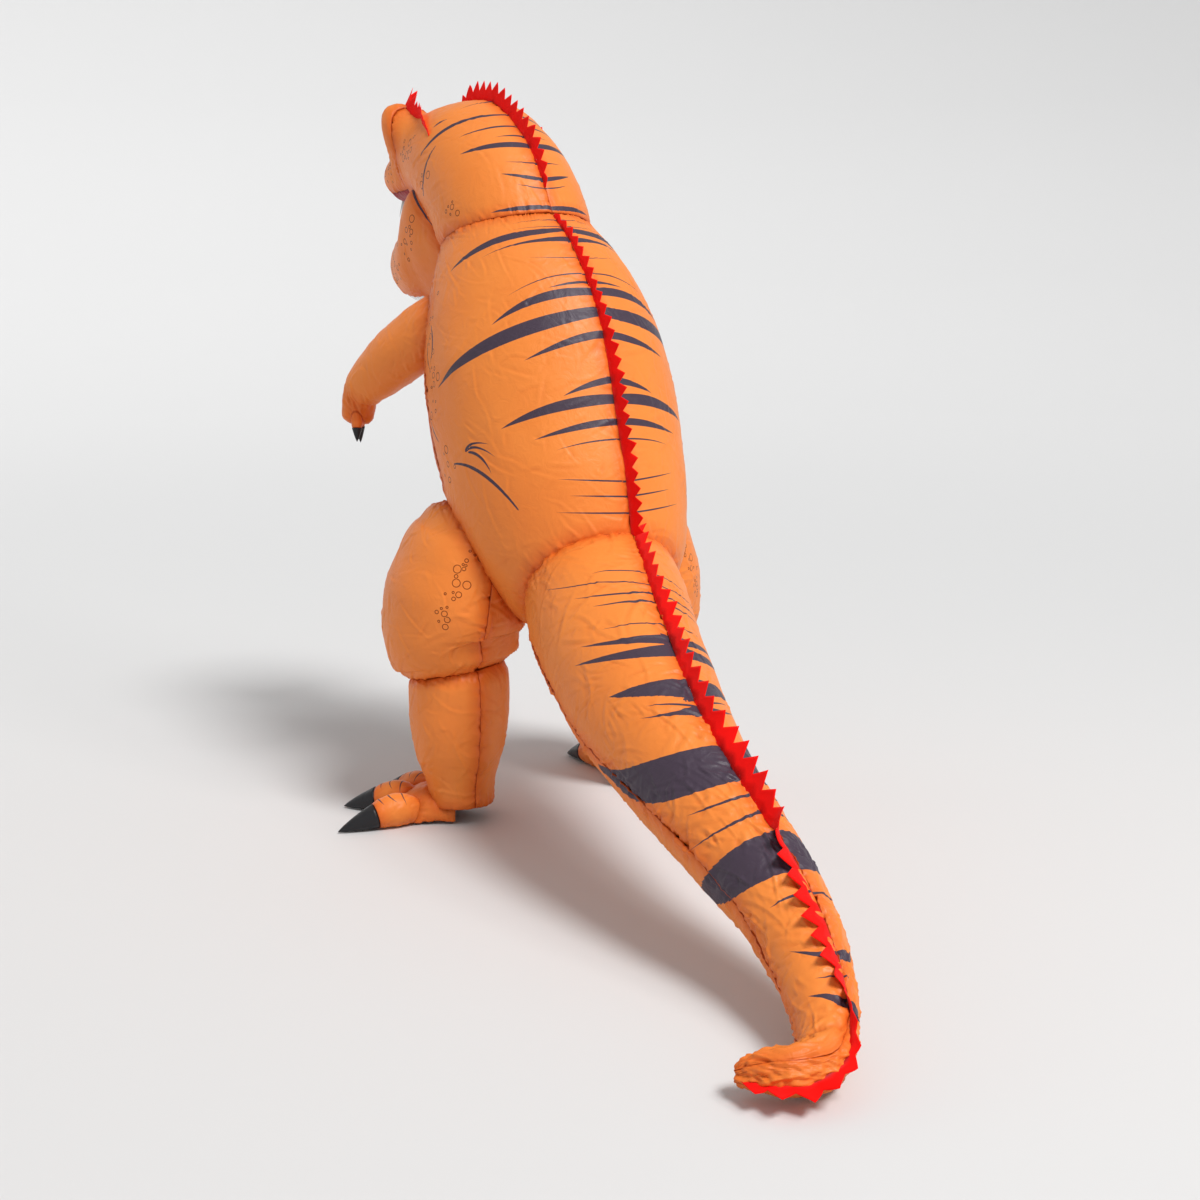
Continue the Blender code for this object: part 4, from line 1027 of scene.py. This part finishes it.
CLAWED = {}
for side, sign in (("left", 1), ("right", -1)):
    thigh, shin, arm = THIGHS[side], SHINS[side], ARMS[side]
    front = 90 - 45 * sign
    clusters = [(90 + sign * (row[0] - 90), *row[1:]) for row in SCALES["thigh"]]
    circles = circles_on(thigh, clusters, 0)
    for turns, where in zip(((-90, 90), (90, 270)), ("outer", "inner")[::sign]):
        shell(f"thigh_{where}_{side}", thigh, "thigh", 905, turns=turns, meets=[(BODY, True)],
              ends=(True, False), circles=circles, shift=overhang(front))
        shell(f"shin_{where}_{side}", shin, "shin", 955, turns=turns, shift=overhang(front, shin.last))
    yaw = math.radians(FOOT_YAW[side])
    ankle = np.array([sign * HIP_X[side], LEG_Y[side] + SHIN_ROWS[0][1], 0.0])

    def heading(turned):
        return np.array([sign * math.sin(turned), -math.cos(turned), 0.0])

    foot_rows = [(*(ankle + row[0] * heading(yaw))[:2], *row[1:]) for row in FOOT_ROWS]
    foot = Form(PATH, foot_rows, facing=(0, 0, 1))
    toes = {}
    for toe, splay in TOE_SPLAY.items():
        ahead = heading(yaw + math.radians(splay))
        rows = [(*(ankle + far * ahead)[:2], tall + TOE_LIFT, wide, tall, tall)
                for far, wide, tall in TOE_ROWS]
        toes[toe] = Form(PATH, rows, facing=(0, 0, 1))
        CLAWED[f"claw_{toe}_{side}"] = (toes[toe], ankle + CLAW_END * ahead + np.array([0, 0, 0.006]))
    meets = [(form, False) for form in (shin, *toes.values())]
    shell(f"foot_{side}", foot, "foot", 1000, turns=(-12, 192), meets=meets, ends=UNSEWN)
    for toe, form in toes.items():
        shell(f"toe_{toe}_{side}", form, "toe", 1040, meets=[(foot, True)], ends=(False, True),
              lines=[stroke_line(form, row) for row in TOE_STROKES])
    fingers = {}
    for finger, (off_x, off_y) in FINGERS.items():
        x, y = sign * (WRIST[0] + off_x), WRIST[1] + off_y
        spread_x, spread_y = sign * off_x * 0.5, off_y * 0.5
        rows = [(x + spread_x * share, y + spread_y * share, high, wide, wide, wide)
                for share, high, wide in FINGER_ROWS]
        fingers[finger] = Form(PATH, rows, facing=(0, -1, 0))
        end = np.array([rows[-1][0] + spread_x, rows[-1][1] + spread_y, FINGER_CLAW_Z[finger]])
        CLAWED[f"finger_claw_{finger}_{side}"] = (fingers[finger], end)
    meets = [(BODY, True), *((form, False) for form in fingers.values())]
    shell(f"sleeve_{side}", arm, "sleeve", 1100, ends=UNSEWN, meets=meets)
    for finger, form in fingers.items():
        shell(f"finger_{finger}_{side}", form, "finger", 1150, ends=(False, True), meets=[(arm, True)])


CLAW_SIDES = 28
CLAW_RINGS = 26


def claw(name, tip_of, end):
    """A stuffed cloth claw that bends towards its point, gathered where it is sewn on."""
    centre, side, fore, wide, _, _ = tip_of.rings(np.array([float(tip_of.last)]))
    ahead = np.cross(fore[0], side[0])
    start = centre[0] + GAP * ahead
    reach = end - start
    straight = np.dot(reach, ahead) * ahead
    share = np.linspace(0, 1, CLAW_RINGS)
    bend = share ** 1.7
    path = start + share[:, None] * straight + bend[:, None] * (reach - straight)
    half = np.maximum(wide[0] * (1 - share) ** 0.75, 0.0012)
    half[0] *= 0.9
    angle = np.arange(CLAW_SIDES) * 2 * math.pi / CLAW_SIDES
    verts = []
    for ring in range(CLAW_RINGS):
        pleat = 1 + 0.035 * math.exp(-6 * share[ring]) * np.sin(9 * angle)
        verts.append(path[ring] + (half[ring] * pleat * np.cos(angle))[:, None] * side[0]
                     + (half[ring] * pleat * np.sin(angle))[:, None] * fore[0])
    verts = np.concatenate([np.array(verts).reshape(-1, 3), [path[0], path[-1] + 0.001 * unit(reach)]])
    index = np.arange(CLAW_RINGS * CLAW_SIDES).reshape(CLAW_RINGS, CLAW_SIDES)
    index = np.concatenate([index, index[:, :1]], 1)
    root, tip = len(verts) - 2, len(verts) - 1
    caps = [[root, index[0, k], index[0, k + 1], index[0, k + 2]] for k in range(0, CLAW_SIDES, 2)]
    caps += [[tip, index[-1, k + 2], index[-1, k + 1], index[-1, k]] for k in range(0, CLAW_SIDES, 2)]
    floats = {"edge": np.full(len(verts), 0.03)}
    made = quick_mesh(f"{name}_cloth", verts, [*quads(index), *caps], "claw", floats)
    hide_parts(name)


for name, (form, end) in CLAWED.items():
    claw(name, form, end)

# Crests and teeth: turn, row, heights of the base and the spikes in millimetres, and lean
HEAD_CREST = (
    (270, 0.75, 3, 10, -0.2, 0, 0),
    (270, 1.20, 16, 40, -0.3, 0, 0),
    (270, 2.20, 26, 58, -0.2, 0.1, 0),
    (270, 3.60, 28, 60, -0.1, 0.1, 0),
    (270, 4.80, 26, 58, 0, 0.1, 0),
    (270, 5.60, 16, 36, 0, 0, 0),
)
BACK_CREST = (
    (270, 9.92, 6, 14, -0.4, 0, 0),
    (270, 9.40, 10, 26, -0.4, 0, 0),
    (270, 8.20, 14, 34, -0.3, 0, 0),
    (270, 7.40, 22, 44, -0.3, 0, 0),
    (270, 6.20, 26, 52, -0.25, 0, 0),
    (270, 4.20, 28, 54, -0.2, 0, 0),
)
TAIL_CREST = (
    (110, 1.30, 22, 46, -0.3, 0, 0),
    (105, 3.00, 26, 52, -0.4, 0, 0),
    (95, 4.30, 30, 60, -0.5, 0, 0),
    (93, 5.90, 32, 70, -0.6, 0, 0),
    (95, 6.30, 30, 62, -0.3, 0, 0),
    (99, 6.85, 26, 62, 1.2, 0, 0.1),
    (105, 8.00, 26, 70, 2.4, 0, 0),
    (114, 8.90, 24, 66, 2.2, 0, 0),
    (124, 9.70, 20, 54, 1.4, 0.4, 0.1),
    (138, 10.60, 16, 32, 0.9, 1.3, 0.2),
    (160, 11.60, 18, 34, 0.5, 1.3, 0),
    (186, 12.60, 22, 48, 0.2, 0.9, -0.3),
    (190, 14.20, 20, 44, 0, 0.8, -0.35),
    (180, 15.50, 8, 20, 0, 0.6, -0.2),
)
BROW_CREST = (
    (333, 3.60, 6, 14, -0.5, 0.5, 0.4),
    (326, 4.60, 26, 44, -0.5, 0.5, 0.4),
    (314, 5.60, 30, 52, -0.4, 0.5, 0.4),
    (302, 6.50, 26, 72, -0.3, 0.4, 0.3),
)
UPPER_TEETH = ((54, 7.0, 6, 50), (54, 9.2, 6, 56), (54, 10.1, 6, 40), (90, 10.2, 6, 40))
LOWER_TEETH = ((292.5, 3.5, 5, 30), (292.5, 5.2, 5, 36), (292.5, 6.0, 5, 30), (270, 6.1, 5, 30))


def both_sides(rows, mirror, lean):
    """A row of teeth that goes on from its middle, the last row given, to the other side."""
    rows = [(*row, 0, 0, lean) for row in rows]
    return rows + [(mirror - row[0], *row[1:]) for row in rows[-2::-1]]


strip("head_crest", "red_felt", HEAD, HEAD_CREST, 0.040, seed=2, peak=0.35, wave=0.08)
strip("back_crest", "red_felt", BODY, BACK_CREST, 0.038, seed=3, wave=0.12)
strip("tail_crest", "red_felt", TAIL, TAIL_CREST, 0.051, seed=4, wave=0.20)
strip("brow_crest_left", "red_felt", HEAD, BROW_CREST, 0.036, seed=5, wave=0.1)
mirrored_crest = [(540 - row[0], *row[1:4], -row[4], *row[5:]) for row in BROW_CREST]
strip("brow_crest_right", "red_felt", HEAD, mirrored_crest, 0.036, seed=5, wave=0.1)
strip("upper_teeth", "tooth", HEAD, both_sides(UPPER_TEETH, 180, -1.5), 0.036, seed=6)
strip("lower_teeth", "tooth", JAW, both_sides(LOWER_TEETH, 540, 1.5), 0.034, seed=7)

for name in ("zip_slider", "zip_pull", "blower_housing", "blower_rotor"):
    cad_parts[name].data.materials.clear()
    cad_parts[name].data.materials.append(MATERIALS["plastic"])


# Zip

TOOTH_PITCH = 0.0050
TOOTH_ROWS = (ZIP_ROWS[0] + 0.03, 7.82)
TOOTH_ASIDE = 0.0011
TOOTH = {"across": 0.0036, "along": 0.0030, "tall": 0.0022}


def lifted(turn, at, place):
    return np.full(turn.shape, ZIP_RISE)


def zip_teeth():
    """Moulded teeth in two rows that reach between each other, up the middle of the tape."""
    at = spaced(BODY, 90, *TOOTH_ROWS, TOOTH_PITCH / 2)
    middle = BODY.point(90.0, at)
    out = BODY.normal(90.0, at)
    along = unit(np.gradient(middle, axis=0))
    aside = unit(np.cross(along, out))
    side = np.where(np.arange(len(at)) % 2, 1.0, -1.0)[:, None]
    base = middle + ZIP_RISE * out + TOOTH_ASIDE * side * aside
    verts = []
    for tall, size in ((-0.0005, 1.0), (0.6, 1.0), (1.0, 0.55)):
        for u, v in ((-1, -1), (1, -1), (1, 1), (-1, 1)):
            verts.append(base + tall * TOOTH["tall"] * out + size * u * TOOTH["across"] / 2 * aside
                         + size * v * TOOTH["along"] / 2 * along)
    verts = np.stack(verts, 1)
    index = 12 * np.arange(len(at))[:, None]
    sides = quads(np.arange(12).reshape(3, 4), closed=True)[:, [0, 3, 2, 1]]
    faces = np.concatenate([index + np.array(face) for face in [*sides, [8, 9, 10, 11], [3, 2, 1, 0]]])
    quick_mesh("zip_teeth", verts.reshape(-1, 3), faces, "plastic")


shell("zip_tape", BODY, "zip", 1200, "zip", turns=ZIP_TURNS, rows=ZIP_ROWS, extra=lifted)
zip_teeth()


# Floor, light and camera


def lamp(name, at, towards, size, power, colour):
    light = bpy.data.lights.new(name, "AREA")
    light.shape = "DISK"
    light.size = size
    light.energy = power
    light.color = colour
    made = placed(name, light)
    made.location = at
    made.rotation_euler = (Vector(towards) - Vector(at)).to_track_quat("-Z", "Y").to_euler()


STUDIO = ((0.0, 0.0), (9.0, 0.0), (12.0, 0.4), (15.0, 1.7), (17.5, 4.0), (19.0, 7.0), (19.6, 10.0))
STUDIO_SIDES = 48
rounds = np.arange(STUDIO_SIDES) * 2 * math.pi / STUDIO_SIDES
studio = [(far * math.cos(t), far * math.sin(t), high - SHOULDERS[2])
          for far, high in STUDIO for t in rounds]
bowl = quads(np.arange(len(studio)).reshape(len(STUDIO), STUDIO_SIDES), closed=True).tolist()
bowl[:STUDIO_SIDES] = [face[:3] for face in bowl[:STUDIO_SIDES]]
floor_mesh = bpy.data.meshes.new("floor")
floor_mesh.from_pydata(studio, [], bowl)
for polygon in floor_mesh.polygons:
    polygon.use_smooth = True
floor = placed("floor", floor_mesh)
floor_mesh.materials.append(Look("pale_floor", (0.66, 0.66, 0.66), 0.8).material)

world = bpy.data.worlds.new("studio")
world.use_nodes = True
world.node_tree.nodes["Background"].inputs[0].default_value = (1.0, 1.0, 1.0, 1)
world.node_tree.nodes["Background"].inputs[1].default_value = 0.44
bpy.context.scene.world = world
bpy.context.scene.view_settings.view_transform = "Standard"

# The camera stands behind the costume and looks a little down; places are given from there
CAMERA_TURN = math.radians(150.5)
CAMERA_TILT = math.radians(10.75)
CAMERA_AT = (4.45, 0.075, 1.50)
KEY_AT = (2.6, 3.0, 2.4)
RIM_AT = (-1.5, -4.0, 2.0)
SUN_FROM = (0.5, 0.45, 1.0)
back = np.array([math.sin(CAMERA_TURN), -math.cos(CAMERA_TURN), 0.0])
right = np.array([math.cos(CAMERA_TURN), math.sin(CAMERA_TURN), 0.0])


def behind(far, aside, high):
    return back * far + right * aside + np.array([0, 0, high])


look = -back * math.cos(CAMERA_TILT) - np.array([0, 0, math.sin(CAMERA_TILT)])
lamp("key", behind(*KEY_AT), (0, 0.3, -0.4), 1.0, 45, (1.0, 0.98, 0.95))
lamp("rim", behind(*RIM_AT), (0, 0.2, -0.3), 1.4, 6, (1.0, 0.85, 0.7))
sun_data = bpy.data.lights.new("sun", "SUN")
sun_data.energy = 2.5
sun_data.angle = math.radians(18)
placed("sun", sun_data).rotation_euler = Vector(behind(*SUN_FROM)).to_track_quat("Z", "Y").to_euler()
camera_data = bpy.data.cameras.new("camera")
camera_data.sensor_width = 36
camera_data.lens = 47.25
camera = placed("camera", camera_data)
upward = np.cross(right, look)
place = Matrix([[*row, 0] for row in np.stack([right, upward, -look], 1)] + [[0, 0, 0, 1]])
camera.matrix_world = Matrix.Translation(Vector(behind(*CAMERA_AT) - SHOULDERS)) @ place
bpy.context.scene.camera = camera
